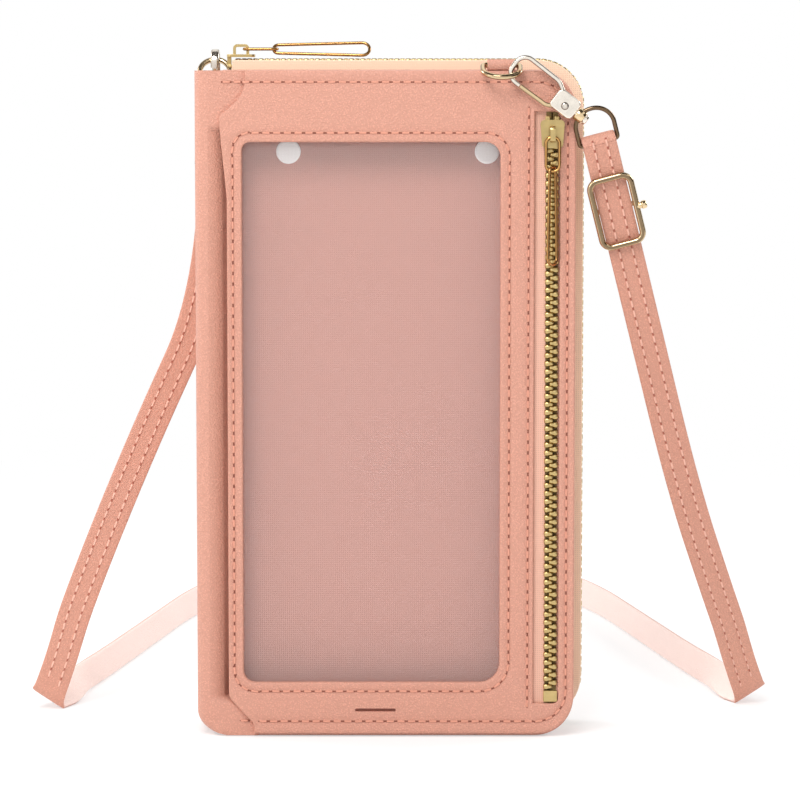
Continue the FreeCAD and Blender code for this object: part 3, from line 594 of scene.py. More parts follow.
def leather():
    p = bpy.context.scene.pouch_leather
    return cached("pebbled_hide", lambda name: pebbled_leather(name, p.colour, p.grain, p.lining))


def strap_hide():
    p = bpy.context.scene.pouch_leather
    return cached("strap_hide", lambda name: pebbled_leather(name, p.strap, p.grain, p.strap_back))


def lining_cloth():
    p = bpy.context.scene.pouch_leather
    return cached("lining_cloth", lambda name: woven(name, p.lining, WEAVE))


def tape_cloth():
    tape = bpy.context.scene.pouch_leather.tape
    shadow = bpy.context.scene.pouch_metal.bronze_and_painted_shade
    return cached("tape_cloth", lambda name: woven(name, tape, WEAVE, TAPE_BUMP, shadow))


def coin_cloth():
    colour = bpy.context.scene.pouch_leather.coin_tape
    shadow = shade_of(bpy.context.scene.pouch_metal.brass, COIN_SHADOW_SHARE)
    return cached("coin_cloth", lambda name: woven(name, colour, WEAVE, COIN_BUMP, shadow))


def case_thread():
    p = bpy.context.scene.pouch_sewing
    # The thread's marked ends take painted shade in the needle holes.
    return cached("case_thread", lambda name: woven(name, p.thread, TWIST, THREAD_BUMP, p.hole))


def strap_thread():
    p = bpy.context.scene.pouch_sewing
    # Paler painted shade in the strap's needle holes
    hole = shade_of(p.hole, STRAP_HOLE_SHADE_SHARE)
    return cached("strap_thread", lambda name: woven(name, p.strap_thread, TWIST, THREAD_BUMP, hole))


def polished(name):
    """One of the metals, by its material's name."""
    setting, roughness, wear = METALS[name]
    colour = getattr(bpy.context.scene.pouch_metal, setting)
    return cached(name, lambda name: metal(name, colour, roughness, wear))


def finish_solid(node, material, soft):
    """Gives a CAD node that stays in view its finish and soft edges."""
    obj = frame["nodes"][node]
    obj.data.materials.clear()
    obj.data.materials.append(material)
    weld = obj.modifiers.new("weld", "WELD")
    weld.merge_threshold = WELD_GAP
    bevel = obj.modifiers.new("soft_edges", "BEVEL")
    bevel.width = soft
    bevel.segments = BEVEL_STEPS
    bevel.limit_method = "ANGLE"


def sewing(name, path, face, body, slot="leather", material=None):
    """A row of stitches as a piece of its own, on a path over a face."""
    p = bpy.context.scene.pouch_sewing
    return piece(name, stitch_mesh(path, face, p.pitch, p.thick), material or case_thread(), body, slot)


# The window frame and the strip beside the coin zip

SHOULDER_RUN, SHOULDER_BOW, SHOULDER_DROP, SHOULDER_TAPER = 5.2 * MM, 2.3 * MM, 13.0 * MM, 23.0 * MM
FOOT_RUN, FOOT_RISE, FOOT_STEP = 7.2 * MM, 11.2 * MM, 3.4 * MM
TURN_WIDE, TURN_MID, TURN_TIGHT = 9.0 * MM, 3.0 * MM, 1.5 * MM
FRAME_LEFT = SPINE_LEFT + 9.2 * MM
WINDOW_LEFT, WINDOW_RIGHT = FRAME_LEFT + 4.3 * MM, FRAME_RIGHT - 9.7 * MM
WINDOW_LOW, WINDOW_TOP = 15.6 * MM, COVER_TOP - 20.1 * MM
WINDOW_RADII = np.array([3.4, 5.7, 4.3, 2.3]) * MM
STRIP_LEFT = COVER_RIGHT - 4.5 * MM
BRIDGE_TOP, BRIDGE_LOW = COVER_TOP - 11.5 * MM, 9.5 * MM
SEAM_TOP, SEAM_LOW = COVER_TOP - 3.2 * MM, 4.3 * MM
SEAM_RIGHT_IN, SEAM_WINDOW, SEAM_SLOT = 2.3 * MM, 2.6 * MM, 1.7 * MM
SEAM_REACH = 0.8 * MM
BASE_LIFT = 0.7 * MM
SLIT_LEFT, SLIT_RIGHT, SLIT_Z, SLIT_WIDTH = -10.3 * MM, 1.4 * MM, 7.6 * MM, 0.9 * MM
SLIT_STEP, SLIT_PAST, WINDOW_STEP = 0.1 * MM, 1.0 * MM, 0.4 * MM
# How many points the lines and the band between them have
WINDOW_POINTS, STRIP_POINTS, BAND_ROWS = 1200, 500, 18
FRAME_POINTS = (110, 240, 110, 240)


def frame_sides():
    """The frame's outer edge as its bottom, right, top and left runs, anticlockwise."""
    left, drop = FRAME_LEFT, COVER_TOP - SHOULDER_DROP
    bottom = [(left + FOOT_RUN, BASE_LIFT, 0), (FRAME_RIGHT, BASE_LIFT, 0)]
    right = [(FRAME_RIGHT, BASE_LIFT, 0), (FRAME_RIGHT, COVER_TOP, 0)]
    top = [(FRAME_RIGHT, COVER_TOP, 0), (left + SHOULDER_RUN, COVER_TOP, 0)]
    edge = [(left + SHOULDER_RUN, COVER_TOP, 0),
            (left + SHOULDER_RUN, COVER_TOP - SHOULDER_DROP / 2, TURN_WIDE),
            (left - SHOULDER_BOW, drop, TURN_TIGHT), (left, drop - SHOULDER_TAPER, TURN_WIDE),
            (left, FOOT_RISE, TURN_MID), (left + FOOT_RUN, FOOT_STEP, TURN_TIGHT),
            (left + FOOT_RUN, BASE_LIFT, 0)]
    return [rounded(run, closed=False) for run in (bottom, right, top, edge)]


def window_loop(grow=0.0):
    """The window's edge, moved outwards."""
    corners = [(WINDOW_LEFT - grow, WINDOW_LOW - grow), (WINDOW_RIGHT + grow, WINDOW_LOW - grow),
               (WINDOW_RIGHT + grow, WINDOW_TOP + grow), (WINDOW_LEFT - grow, WINDOW_TOP + grow)]
    return rounded([(x, z, r + grow) for (x, z), r in zip(corners, WINDOW_RADII)], step=WINDOW_STEP)


def window_sides():
    """The window's edge as four runs; the left one also takes the left ends of the bottom and the top."""
    starts = np.array([(WINDOW_LEFT + FOOT_RUN, WINDOW_LOW), (WINDOW_RIGHT, WINDOW_LOW),
                       (WINDOW_RIGHT, WINDOW_TOP), (WINDOW_LEFT + SHOULDER_RUN, WINDOW_TOP)])
    loop = resample(window_loop(), WINDOW_POINTS, True)
    first = [int(np.argmin(np.linalg.norm(loop - start, axis=1))) for start in starts]
    sides = []
    for i, start in enumerate(first):
        stop = first[(i + 1) % 4]
        stop = stop if stop > start else stop + len(loop)
        sides.append(loop[np.arange(start, stop + 1) % len(loop)])
    return sides


def perimeter_seam():
    """The row of stitches round the frame and the strip, from the upper left to the lower left."""
    right, radius = COVER_RIGHT - SEAM_RIGHT_IN, CORNER_R - SEAM_RIGHT_IN
    return rounded([(FRAME_LEFT, SEAM_TOP, 0), (right, SEAM_TOP, radius), (right, SEAM_LOW, radius),
                    (FRAME_LEFT + SEAM_LOW, SEAM_LOW, 0)], closed=False)


def slot_seam():
    """The row of stitches beside the coin zip, on the frame."""
    x = FRAME_RIGHT - SEAM_SLOT
    return np.array([(x, BRIDGE_LOW), (x, BRIDGE_TOP)])


def window_seam():
    """The row of stitches round the window, closed on itself."""
    loop = window_loop(SEAM_WINDOW)
    return np.vstack([loop, loop[:1]])


def sewn_depth(flat, puff):
    """Depth of the sewn face: it swells by the puff, and dips back under each seam.

    The swell is puff x (1 - exp(-(distance to the nearest seam / reach)^2)).
    """
    near = np.full(len(flat), np.inf)
    for seam in (perimeter_seam(), slot_seam(), window_seam()):
        gaps = flat[:, None].astype(np.float32) - spaced(seam, SEAM_REACH)[None].astype(np.float32)
        near = np.minimum(near, np.sqrt((gaps ** 2).sum(-1).min(1)))
    return FRONT - puff * (1 - np.exp(-(near / SEAM_REACH) ** 2))


def band_between(inner, outer, edge, free, puff, closed):
    """A leather band between two matched lines, both running anticlockwise: a profile carried along them.

    The face runs in even shares from line to line; both edges are rounded square to their own line, the
    outer one only where it is free.
    """
    far = (edge * free)[:, None]
    near_way, far_way = outward(inner, closed), outward(outer, closed)
    start, stop = inner + near_way * edge, outer - far_way * far
    rows = [inner, inner, inner + near_way * EDGE_MID_SHARE * edge]
    rows += [start + share * (stop - start) for share in np.linspace(0, 1, BAND_ROWS)]
    rows += [outer - far_way * EDGE_MID_SHARE * far, outer, outer]
    flat = np.stack(rows, 1)
    depth = sewn_depth(flat.reshape(-1, 2), puff).reshape(flat.shape[:2])
    depth[:, 1] += edge
    depth[:, 2] += EDGE_MID_SHARE * edge
    depth[:, -3] += EDGE_MID_SHARE * far[:, 0]
    depth[:, -2] += far[:, 0]
    depth[:, [0, -1]] = FRAME_BACK
    return grid_mesh(np.stack([flat[..., 0], depth, flat[..., 1]], -1), wrap_u=closed)


def matched(first, second, counts):
    """Two lines made of runs, each pair of runs given the same number of points."""
    pair = []
    for sides in (first, second):
        pair.append(np.concatenate([resample(side, n + 1)[:-1] for side, n in zip(sides, counts)]))
    return pair


def cut(obj, mesh):
    """Takes a closed mesh out of an object, and leaves the result in the object's own mesh."""
    data = bpy.data.meshes.new("cutter")
    data.from_pydata(mesh[0].tolist(), [], mesh[1])
    cutter = add_object("cutter", data)
    hole = obj.modifiers.new("slit", "BOOLEAN")
    hole.object = cutter
    hole.operation = "DIFFERENCE"
    bpy.context.view_layer.update()
    result = bpy.data.meshes.new_from_object(obj.evaluated_get(bpy.context.evaluated_depsgraph_get()))
    obj.modifiers.clear()
    obj.data = result
    bpy.data.objects.remove(cutter)


class POUCH_OT_window_frame(bpy.types.Operator):
    """Makes the leather frame round the window, with its slit and its seams"""
    bl_idname = "pouch.window_frame"
    bl_label = "Window Frame"

    def execute(self, context):
        p = context.scene.pouch_leather
        inner, outer = matched(window_sides(), frame_sides(), FRAME_POINTS)
        slot = (outer[:, 1] > BRIDGE_LOW) & (outer[:, 1] < BRIDGE_TOP)
        free = np.where((outer[:, 0] < FRAME_RIGHT - p.edge) | slot, 1.0, 0.0)
        band = band_between(inner, outer, p.edge, free, p.puff, closed=True)
        obj = piece("frame_leather", band, leather(), "pouch", "leather", "window_frame")
        slit = rounded(rect(SLIT_LEFT, SLIT_RIGHT, SLIT_Z - SLIT_WIDTH / 2, SLIT_Z + SLIT_WIDTH / 2,
                            SLIT_WIDTH * EDGE_MOST_SHARE), step=SLIT_STEP)
        cut(obj, pillow(slit, [(0, FRONT - SLIT_PAST), (0, FRAME_BACK + SLIT_PAST)]))
        sewing("frame_stitch_inner", upright(window_seam(), FRONT), -Y, "pouch")
        sewing("frame_stitch_slot", upright(slot_seam(), FRONT), -Y, "pouch")
        seam = spaced(perimeter_seam(), SEAM_REACH)
        frame_from = FRAME_LEFT + np.where(seam[:, 1] > SEAM_LOW, SHOULDER_RUN, FOOT_RUN)
        level = np.where(seam[:, 0] < frame_from, SPINE_FRONT, FRONT)
        sewing("frame_stitch_outer", upright(seam, level), -Y, "pouch")
        return {"FINISHED"}


class POUCH_OT_edge_strip(bpy.types.Operator):
    """Makes the leather strip beside the coin zip, joined to the frame above and below the zip"""
    bl_idname = "pouch.edge_strip"
    bl_label = "Edge Strip"

    def execute(self, context):
        p = context.scene.pouch_leather
        inner = [(FRAME_RIGHT, BRIDGE_LOW, 0), (STRIP_LEFT, BRIDGE_LOW, TURN_TIGHT),
                 (STRIP_LEFT, BRIDGE_TOP, TURN_TIGHT), (FRAME_RIGHT, BRIDGE_TOP, 0)]
        outer = [(FRAME_RIGHT, BASE_LIFT, 0), (COVER_RIGHT, BASE_LIFT, CORNER_R),
                 (COVER_RIGHT, COVER_TOP, CORNER_R), (FRAME_RIGHT, COVER_TOP, 0)]
        inner, outer = (resample(rounded(line, closed=False), STRIP_POINTS) for line in (inner, outer))
        band = band_between(inner, outer, p.edge, np.ones(len(outer)), p.puff, closed=False)
        piece("strip_leather", band, leather(), "pouch", "leather", "edge_strip")
        return {"FINISHED"}


# The case

def cover_path(left, inset=0.0, base=0.0):
    """The cover's edge from its upper left round the right side to its lower left."""
    right, top = COVER_RIGHT - inset, COVER_TOP - inset
    return rounded([(left, top, 0), (right, top, CORNER_R - inset), (right, base + inset, CORNER_R - inset),
                    (left, base + inset, 0)], closed=False)


def edge_sweep(path, section):
    """A section of (outward offset, depth) carried along a flat path that runs clockwise."""
    out = -outward(path, closed=False)
    return grid_mesh(np.stack([upright(path + out * offset, y) for offset, y in section], 1))


RIM, COVER_PLY, FLOOR_IN, FLOOR_FOOT_R = 4.0 * MM, 1.2 * MM, 0.4 * MM, 8.6 * MM


class POUCH_OT_front_cover(bpy.types.Operator):
    """Makes the front cover's rim and floor"""
    bl_idname = "pouch.front_cover"
    bl_label = "Front Cover"

    def execute(self, context):
        p = context.scene.pouch_leather
        near, far = low("front_panel")[1], high("front_panel")[1]
        path = spaced(cover_path(POCKET_LEFT), SWEEP_STEP)
        mid = EDGE_MID_SHARE * p.edge
        section = [(-RIM, near), (-2 * p.edge, near), (-mid, near + mid), (0, near + p.edge),
                   (p.puff, (near + far) / 2), (0, far - p.edge), (-mid, far - mid), (-p.edge, far),
                   (-RIM, far)]
        left, right, top = low("front_panel")[0], COVER_RIGHT - FLOOR_IN, COVER_TOP - FLOOR_IN
        floor = plate([(left, FLOOR_IN, FLOOR_FOOT_R), (right, FLOOR_IN, CORNER_R), (right, top, CORNER_R),
                       (left, top, 0)], far - COVER_PLY, far, p.edge)
        rim = edge_sweep(path, section)
        # Where the spine's flaps lie in front of the rim, its front rows stand behind them.
        behind = rim[0][:, 0] < np.where(rim[0][:, 2] > COVER_TOP / 2, FLAP_SHOULDER, FLAP_FOOT)
        rim[0][:, 1] = np.where(behind, np.maximum(rim[0][:, 1], SPINE_FRONT + SPINE_WALL), rim[0][:, 1])
        piece("front_leather", join(rim, floor), leather(), "pouch", "leather", "front_panel")
        return {"FINISHED"}


SPINE_WALL, SPINE_ROLL, SPINE_CREST, SPINE_SOFT = 1.4 * MM, 6.5 * MM, 4.0 * MM, 0.6 * MM
SPINE_FOOT_RISE, SPINE_FOOT_RUN = 7.0 * MM, 8.5 * MM
RETURN_RUN, RETURN_DEEP = 1.5 * MM, 4.0 * MM
LIP_DIP = 2.2 * MM
FLAP_SHOULDER, FLAP_FOOT = FRAME_LEFT + 6.0 * MM, FRAME_LEFT + 8.0 * MM
FLAP_TOP, FLAP_LOW, FLAP_FADE = COVER_TOP - 15.0 * MM, 11.0 * MM, 2.5 * MM
SPINE_STEP = 0.3 * MM
# Heights of the spine's sections as (from, to, count), and the drops of the last ones below its top
SPINE_ZONES = ((0.0, 14.0 * MM, 30), (15.0 * MM, COVER_TOP - 18.0 * MM, 50),
               (COVER_TOP - 17.5 * MM, COVER_TOP - 1.0 * MM, 36))
SPINE_DROPS = np.array([0.6, 0.25, 0.08, 0.0]) * MM


class POUCH_OT_spine(bpy.types.Operator):
    """Makes the rolled spine, with the flaps that run under the frame's corners"""
    bl_idname = "pouch.spine"
    bl_label = "Spine"

    def execute(self, context):
        near, far, wall, roll = SPINE_FRONT, high("spine")[1], SPINE_WALL, SPINE_ROLL
        lip, soft, crest = POCKET_LEFT, SPINE_SOFT, SPINE_CREST
        section = rounded([(lip, near, soft), (SPINE_LEFT, near, crest), (SPINE_LEFT, far, roll),
                           (SPINE_RIGHT, far, soft), (SPINE_RIGHT, far - wall, soft),
                           (SPINE_LEFT + wall, far - wall, roll - wall),
                           (SPINE_LEFT + wall, near + wall, crest - wall), (lip - wall, near + wall, soft),
                           (lip + RETURN_RUN - wall, near + RETURN_DEEP, soft / 2),
                           (lip + RETURN_RUN, near + RETURN_DEEP, soft / 2)], step=SPINE_STEP)
        z = np.concatenate([np.linspace(*zone) for zone in SPINE_ZONES] + [COVER_TOP - SPINE_DROPS])
        x = np.broadcast_to(section[None, :, 0], (len(z), len(section)))
        y = np.broadcast_to(section[None, :, 1], x.shape)
        # The front lip reaches further right under the frame's shoulder and foot.
        reach = (smooth(z, FLAP_TOP - FLAP_FADE, FLAP_TOP) * (FLAP_SHOULDER - lip)
                 + smooth(z, FLAP_LOW, FLAP_LOW - FLAP_FADE) * (FLAP_FOOT - lip))
        share = np.clip((x - SPINE_LEFT - crest) / (lip - SPINE_LEFT - crest), 0, 1) * (y < near + roll)
        # Between the flaps the front falls away towards its lip, by a share squared.
        flat = 1 - np.clip(reach / (FLAP_SHOULDER - lip), 0, 1)[:, None]
        dip = LIP_DIP * share ** 2 * flat
        # Near the base the roll is drawn in along a quarter ellipse.
        sink = np.clip(1 - z / SPINE_FOOT_RISE, 0, 1)
        drawn = (1 - np.sqrt(1 - sink ** 2))[:, None]
        foot = SPINE_LEFT + SPINE_FOOT_RUN
        x = np.where(x < foot, foot - (foot - x) * (1 - drawn), x) + reach[:, None] * share
        grid = np.stack([x, y + dip, np.broadcast_to(z[:, None], x.shape)], -1)
        piece("spine_leather", grid_mesh(grid), leather(), "pouch", "leather", "spine")
        return {"FINISHED"}


POCKET_PLY, POCKET_R, PAD_R, PAD_SIDES = 0.6 * MM, 1.0 * MM, 3.5 * MM, 40
PAD_PROFILE = np.array([(0, 0), (0, 3.3), (0.15, 3.5), (0.3, 3.45), (0.45, 3.2), (0.5, 2.6), (0.5, 0)]) * MM
FELT_COLOUR, FELT_THREAD = (0.93, 0.91, 0.9), 0.4 * MM
FILM_COLOUR, FILM_ROUGH, FILM_ALPHA, FILM_GLOSS = (0.95, 0.96, 0.96), 0.08, 0.06, (0.04, 0.14)
RIPPLE_SCALE, RIPPLE_DETAIL, RIPPLE_BUMP, RIPPLE_RAISE = 0.025 / MM, 2.0, 0.06, 2.0 * MM


class POUCH_OT_pocket(bpy.types.Operator):
    """Makes the window pocket: its film, its lined back and its two pads"""
    bl_idname = "pouch.pocket"
    bl_label = "Window Pocket"

    def execute(self, context):
        a, b = low("window_film"), high("window_film")
        film = plate(rect(a[0], b[0], a[2], b[2], POCKET_R), a[1], b[1], (b[1] - a[1]) / 4)
        piece("film_sheet", film, cached("clear_film", self.clear_film), "pouch", "film", "window_film")
        a, b = low("pocket_wall"), high("pocket_wall")
        near = high("pocket_pads")[1]
        soft = POCKET_PLY / 3
        wall = plate(rect(a[0], b[0], a[2], b[2], POCKET_R), near, near + POCKET_PLY, soft)
        right = [(b[0] - POCKET_PLY, a[1], soft), (b[0], a[1], soft), (b[0], near + POCKET_PLY, soft),
                 (b[0] - POCKET_PLY, near + POCKET_PLY, soft)]
        left = [(a[0], near, soft), (a[0] + POCKET_PLY, near, soft), (a[0] + POCKET_PLY, b[1], soft),
                (a[0], b[1], soft)]
        z = np.array([a[2], b[2]])
        sides = [grid_mesh(np.stack([np.column_stack([loop, np.full(len(loop), at)]) for at in z]))
                 for loop in (rounded(right, step=soft), rounded(left, step=soft))]
        piece("pocket_lining", join(wall, *sides), lining_cloth(), "pouch", "lining", "pocket_wall")
        a, b = low("pocket_pads"), high("pocket_pads")
        z = (a[2] + b[2]) / 2
        pads = [lathe(np.array([x, near, z]), -Y, PAD_PROFILE, PAD_SIDES)
                for x in (a[0] + PAD_R, b[0] - PAD_R)]
        felt = cached("pad_felt", lambda name: woven(name, FELT_COLOUR, FELT_THREAD))
        piece("pocket_felt", join(*pads), felt, "pouch", "pad", "pocket_pads")
        return {"FINISHED"}

    def clear_film(self, name):
        """A clear film: nearly see-through, glossy, with a slow ripple in its gloss."""
        material, nodes, links, surface = shader(name, FILM_COLOUR, FILM_ROUGH)
        surface.inputs["Alpha"].default_value = FILM_ALPHA
        ripple = texture(nodes, links, "ShaderNodeTexNoise", RIPPLE_SCALE, Detail=RIPPLE_DETAIL)
        bump(nodes, links, ripple.outputs["Fac"], surface, RIPPLE_BUMP, RIPPLE_RAISE)
        vary_gloss(nodes, links, ripple.outputs["Fac"], surface, *FILM_GLOSS)
        return material


LINING_R, CARD_R, CARD_EDGE, HEM_IN = 4.0 * MM, 3.0 * MM, 0.28 * MM, 2.0 * MM
LINING_EDGE = 0.2 * MM


class POUCH_OT_linings(bpy.types.Operator):
    """Makes the cloth of the main room and its card pockets"""
    bl_idname = "pouch.linings"
    bl_label = "Linings"

    def execute(self, context):
        for name, node, body in (("front_cloth", "front_lining", "pouch"),
                                 ("back_cloth", "back_lining", "back_cover")):
            a, b = low(node), high(node)
            corners = [(a[0], a[2], 0), (b[0], a[2], LINING_R), (b[0], b[2], LINING_R), (a[0], b[2], 0)]
            piece(name, plate(corners, a[1], b[1], LINING_EDGE), lining_cloth(), body, "lining", node)
        for i in range(1, 4):
            node = "card_pocket_%d" % i
            a, b = low(node), high(node)
            pocket = plate(rect(a[0], b[0], a[2], b[2], CARD_R), a[1], b[1], CARD_EDGE)
            piece("card_leather_%d" % i, pocket, leather(), "back_cover", "lining", node)
            hem = np.array([(a[0] + HEM_IN, b[2] - HEM_IN), (b[0] - HEM_IN, b[2] - HEM_IN)])
            sewing("card_stitch_%d" % i, upright(hem, a[1]), -Y, "back_cover", "lining")
        return {"FINISHED"}


BACK_SEAM_IN, BACK_EDGE, BACK_LEFT_R, BACK_ROW_IN = 2.9 * MM, 0.9 * MM, 3.0 * MM, 1.0 * MM
# The face's copies stay within the left corners' radius, so that they never cross.
BACK_FACE_IN = 2.7 * MM
BACK_ROUND_SHARES, BACK_DIP_SHARE = (0.12, 0.5), 0.4
BACK_RISE_SHARES, BACK_INNER_SHARE = (0.4, 1.0, 1.2, 1.3), 0.8
BOARD_COLOUR, BOARD_FIBRE, BOARD_BUMP = (0.42, 0.36, 0.32), 1.2 * MM, 0.2


class POUCH_OT_back_cover(bpy.types.Operator):
    """Makes the back cover's leather with its seam, over its board"""
    bl_idname = "pouch.back_cover"
    bl_label = "Back Cover"

    def execute(self, context):
        p = context.scene.pouch_leather
        a, b = low("back_panel"), high("back_panel")
        loop = rounded([(a[0], a[2], BACK_LEFT_R), (b[0], a[2], CORNER_R), (b[0], b[2], CORNER_R),
                        (a[0], b[2], BACK_LEFT_R)])
        edge, mid = BACK_EDGE, EDGE_MID_SHARE * p.edge
        small, large = (share * edge for share in BACK_ROUND_SHARES)
        dip, rise = BACK_DIP_SHARE * p.puff, [share * p.puff for share in BACK_RISE_SHARES]
        steps = [(2 * p.edge, a[1]), (p.edge, a[1]), (mid, a[1] + mid), (0, a[1] + p.edge), (0, b[1] - edge),
                 (small, b[1] - large), (large, b[1] - small), (edge, b[1]),
                 (BACK_SEAM_IN - SEAM_REACH, b[1] + dip), (BACK_FACE_IN, b[1] - dip),
                 *((BACK_FACE_IN, b[1] + swell) for swell in rise[:-1])]
        normals = outward(loop)
        rings = [upright(loop - normals * inset, y) for inset, y in steps]
        # The last copy is drawn towards the middle.
        inner = loop.mean(0) + (loop - loop.mean(0)) * BACK_INNER_SHARE
        rings.append(upright(inner, b[1] + rise[-1]))
        piece("back_leather", grid_mesh(np.stack(rings)), leather(), "back_cover", "leather", "back_panel")
        row = spaced(cover_path(a[0] + BACK_ROW_IN, BACK_SEAM_IN, a[2]), SWEEP_STEP)
        sewing("back_stitch", upright(row, b[1]), Y, "back_cover")
        board = cached("cover_card", lambda name: woven(name, BOARD_COLOUR, BOARD_FIBRE, BOARD_BUMP))
        finish_solid("back_board", board, LINING_EDGE)
        return {"FINISHED"}


# The zips

ZIP_R, TAPE_T, TAPE_LIP, TAPE_SOFT = 13.0 * MM, 0.6 * MM, 9.0 * MM, 0.15 * MM
# Each pitch goes a whole number of times into its slider's travel.
MAIN_PITCH, COIN_PITCH = 78.0 * MM / 24, 130.0 * MM / 56
MAIN_TOOTH, COIN_TOOTH = 2.2 * MM, 2.0 * MM
HEAD_SHARE = 0.68
TOOTH_OUT, TOOTH_IN = 0.5 * MM, 1.1 * MM
TOOTH_SHARES = np.array([-0.98, -0.8, -0.35, 0.35, 0.8, 0.98])
TOOTH_SIDES = 8
TOOTH_POWER, NECK_SHARES = 0.7, (-0.3, 0.4)
# Painted shade on each tooth's ends towards its neighbours: where it starts, how fast it grows and its most
TOOTH_PAINTED_SHADE_SHARE, TOOTH_PAINTED_SHADE_GAIN, TOOTH_PAINTED_SHADE_MOST = 0.5, 1.4, 0.6
# In pitches: the first tooth from its end of a chain, and the room kept at the other end
FIRST_TOOTH, MAIN_ROOM, COIN_ROOM = 0.5, 0.5, 0.25
CHAIN_SHADOW, TAPE_PAST, TAPE_POINTS, METAL_SOFT = 1.7 * MM, 1.5 * MM, 120, 0.25 * MM


def zip_line(left, offset=0.0):
    """The main zip's path, moved outwards by an offset."""
    radius, right, top, base = ZIP_R + offset, ZIP_RIGHT + offset, ZIP_TOP + offset, ZIP_LOW - offset
    return rounded([(left, top, 0), (right, top, radius), (right, base, radius), (left, base, 0)],
                   closed=False)


class POUCH_OT_zip_tapes(bpy.types.Operator):
    """Makes the woven tapes of both zips"""
    bl_idname = "pouch.zip_tapes"
    bl_label = "Zip Tapes"

    def execute(self, context):
        thick, soft = TAPE_T, TAPE_SOFT
        for node, body in (("main_tape_front", "pouch"), ("main_tape_back", "back_cover")):
            a, b = low(node), high(node)
            sewn, free, way = (a[1], b[1], 1) if body == "pouch" else (b[1], a[1], -1)
            section = rounded([(-TAPE_LIP, sewn, soft), (0, sewn, 2 * soft), (0, free, soft),
                               (-thick, free, soft), (-thick, sewn + way * thick, soft),
                               (-TAPE_LIP, sewn + way * thick, soft)], step=soft)
            tape = edge_sweep(spaced(zip_line(a[0]), SWEEP_STEP), section)
            piece(node.replace("main", "woven"), tape, tape_cloth(), body, "tape", node)
        middle = (high("coin_tape_left")[0] + low("coin_tape_right")[0]) / 2
        for node in ("coin_tape_left", "coin_tape_right"):
            a, b = low(node), high(node)
            left, right = (a[0], middle - soft) if node.endswith("left") else (middle + soft, b[0])
            profile = resample(rounded(rect(left, right, a[1], b[1], soft), step=soft), TAPE_POINTS, True)
            shadow = (np.abs(profile[:, 0] - middle) < CHAIN_SHADOW).astype(float)
            path = np.stack([min(a[2], BRIDGE_LOW - TAPE_PAST) * Z, max(b[2], BRIDGE_TOP + TAPE_PAST) * Z])
            tape = sweep(path, np.stack([X, X]), np.stack([Y, Y]), profile, mark=shadow)
            piece(node.replace("coin", "woven"), tape, coin_cloth(), "pouch", "tape", node)
        return {"FINISHED"}


def chain(centres, along, across, out, size):
    """One rounded tooth, a superellipsoid of a few dozen faces, set at each centre.

    A ring at share s of the length has the size (1 - s^4)^(1/4), and the head that reaches past the middle is
    narrower; the flanks along the chain, where neighbouring teeth meet, are marked with painted shade.
    """
    ring = (1 - TOOTH_SHARES ** 4) ** 0.25
    t = np.linspace(0, 2 * np.pi, TOOTH_SIDES, endpoint=False) + np.pi / TOOTH_SIDES
    width, length, height = size
    neck = 1 - (1 - HEAD_SHARE) * smooth(TOOTH_SHARES, *NECK_SHARES)
    u = ((ring * neck)[:, None] * signed_power(np.cos(t), TOOTH_POWER)).ravel() * width / 2
    v = np.repeat(TOOTH_SHARES, TOOTH_SIDES) * length / 2
    w = (ring[:, None] * signed_power(np.sin(t), TOOTH_POWER)).ravel() * height / 2
    points = (centres[:, None] + along[:, None] * u[None, :, None] + across * v[None, :, None]
              + out[:, None] * w[None, :, None])
    # Painted shade on the ends of each tooth, towards its neighbours
    dark = (np.abs(u) / (width / 2) - TOOTH_PAINTED_SHADE_SHARE) * TOOTH_PAINTED_SHADE_GAIN
    marks = np.tile(np.clip(dark, 0, TOOTH_PAINTED_SHADE_MOST), len(centres))
    return copies(points, quads(len(TOOTH_SHARES), TOOTH_SIDES, False, True), TOOTH_SIDES, marks)


class POUCH_OT_zip_metal(bpy.types.Operator):
    """Makes the interlocking teeth of both zips, and finishes their stops and sliders"""
    bl_idname = "pouch.zip_metal"
    bl_label = "Zip Teeth and Sliders"

    def execute(self, context):
        brass = polished("teeth_brass")
        for i, (node, body) in enumerate((("main_teeth_front", "pouch"), ("main_teeth_back", "back_cover"))):
            a, b = low(node), high(node)
            line = zip_line(a[0], (TOOTH_OUT - TOOTH_IN) / 2)
            stop = length_of(line) / MAIN_PITCH - MAIN_ROOM
            line = placed(line, np.arange(FIRST_TOOTH + i / 2, stop) * MAIN_PITCH)
            along, out = upright(tangents(line), 0.0), upright(-outward(line, closed=False), 0.0)
            teeth = chain(upright(line, (a[1] + b[1]) / 2), along, (Y, -Y)[i], out,
                          (MAIN_TOOTH, b[1] - a[1], TOOTH_OUT + TOOTH_IN))
            piece(node.replace("main_teeth", "main_chain"), teeth, brass, body, "zip_brass", node)
        for i, node in enumerate(("coin_teeth_left", "coin_teeth_right")):
            a, b = low(node), high(node)
            stop = (b[2] - a[2]) / COIN_PITCH - COIN_ROOM
            z = b[2] - np.arange(FIRST_TOOTH + i / 2, stop) * COIN_PITCH
            centres = (a + b) / 2 * (1 - Z) + z[:, None] * Z
            along, out = (np.broadcast_to(way, centres.shape) for way in (Z, -Y))
            teeth = chain(centres, along, (X, -X)[i], out, (COIN_TOOTH, b[0] - a[0], b[1] - a[1]))
            piece(node.replace("coin_teeth", "coin_chain"), teeth, brass, "pouch", "zip_brass", node)
        for node in ("coin_top_stops", "coin_bottom_stop", "main_slider", "coin_slider"):
            finish_solid(node, brass, METAL_SOFT)
        return {"FINISHED"}


# Rings, pulls, hooks and the buckle

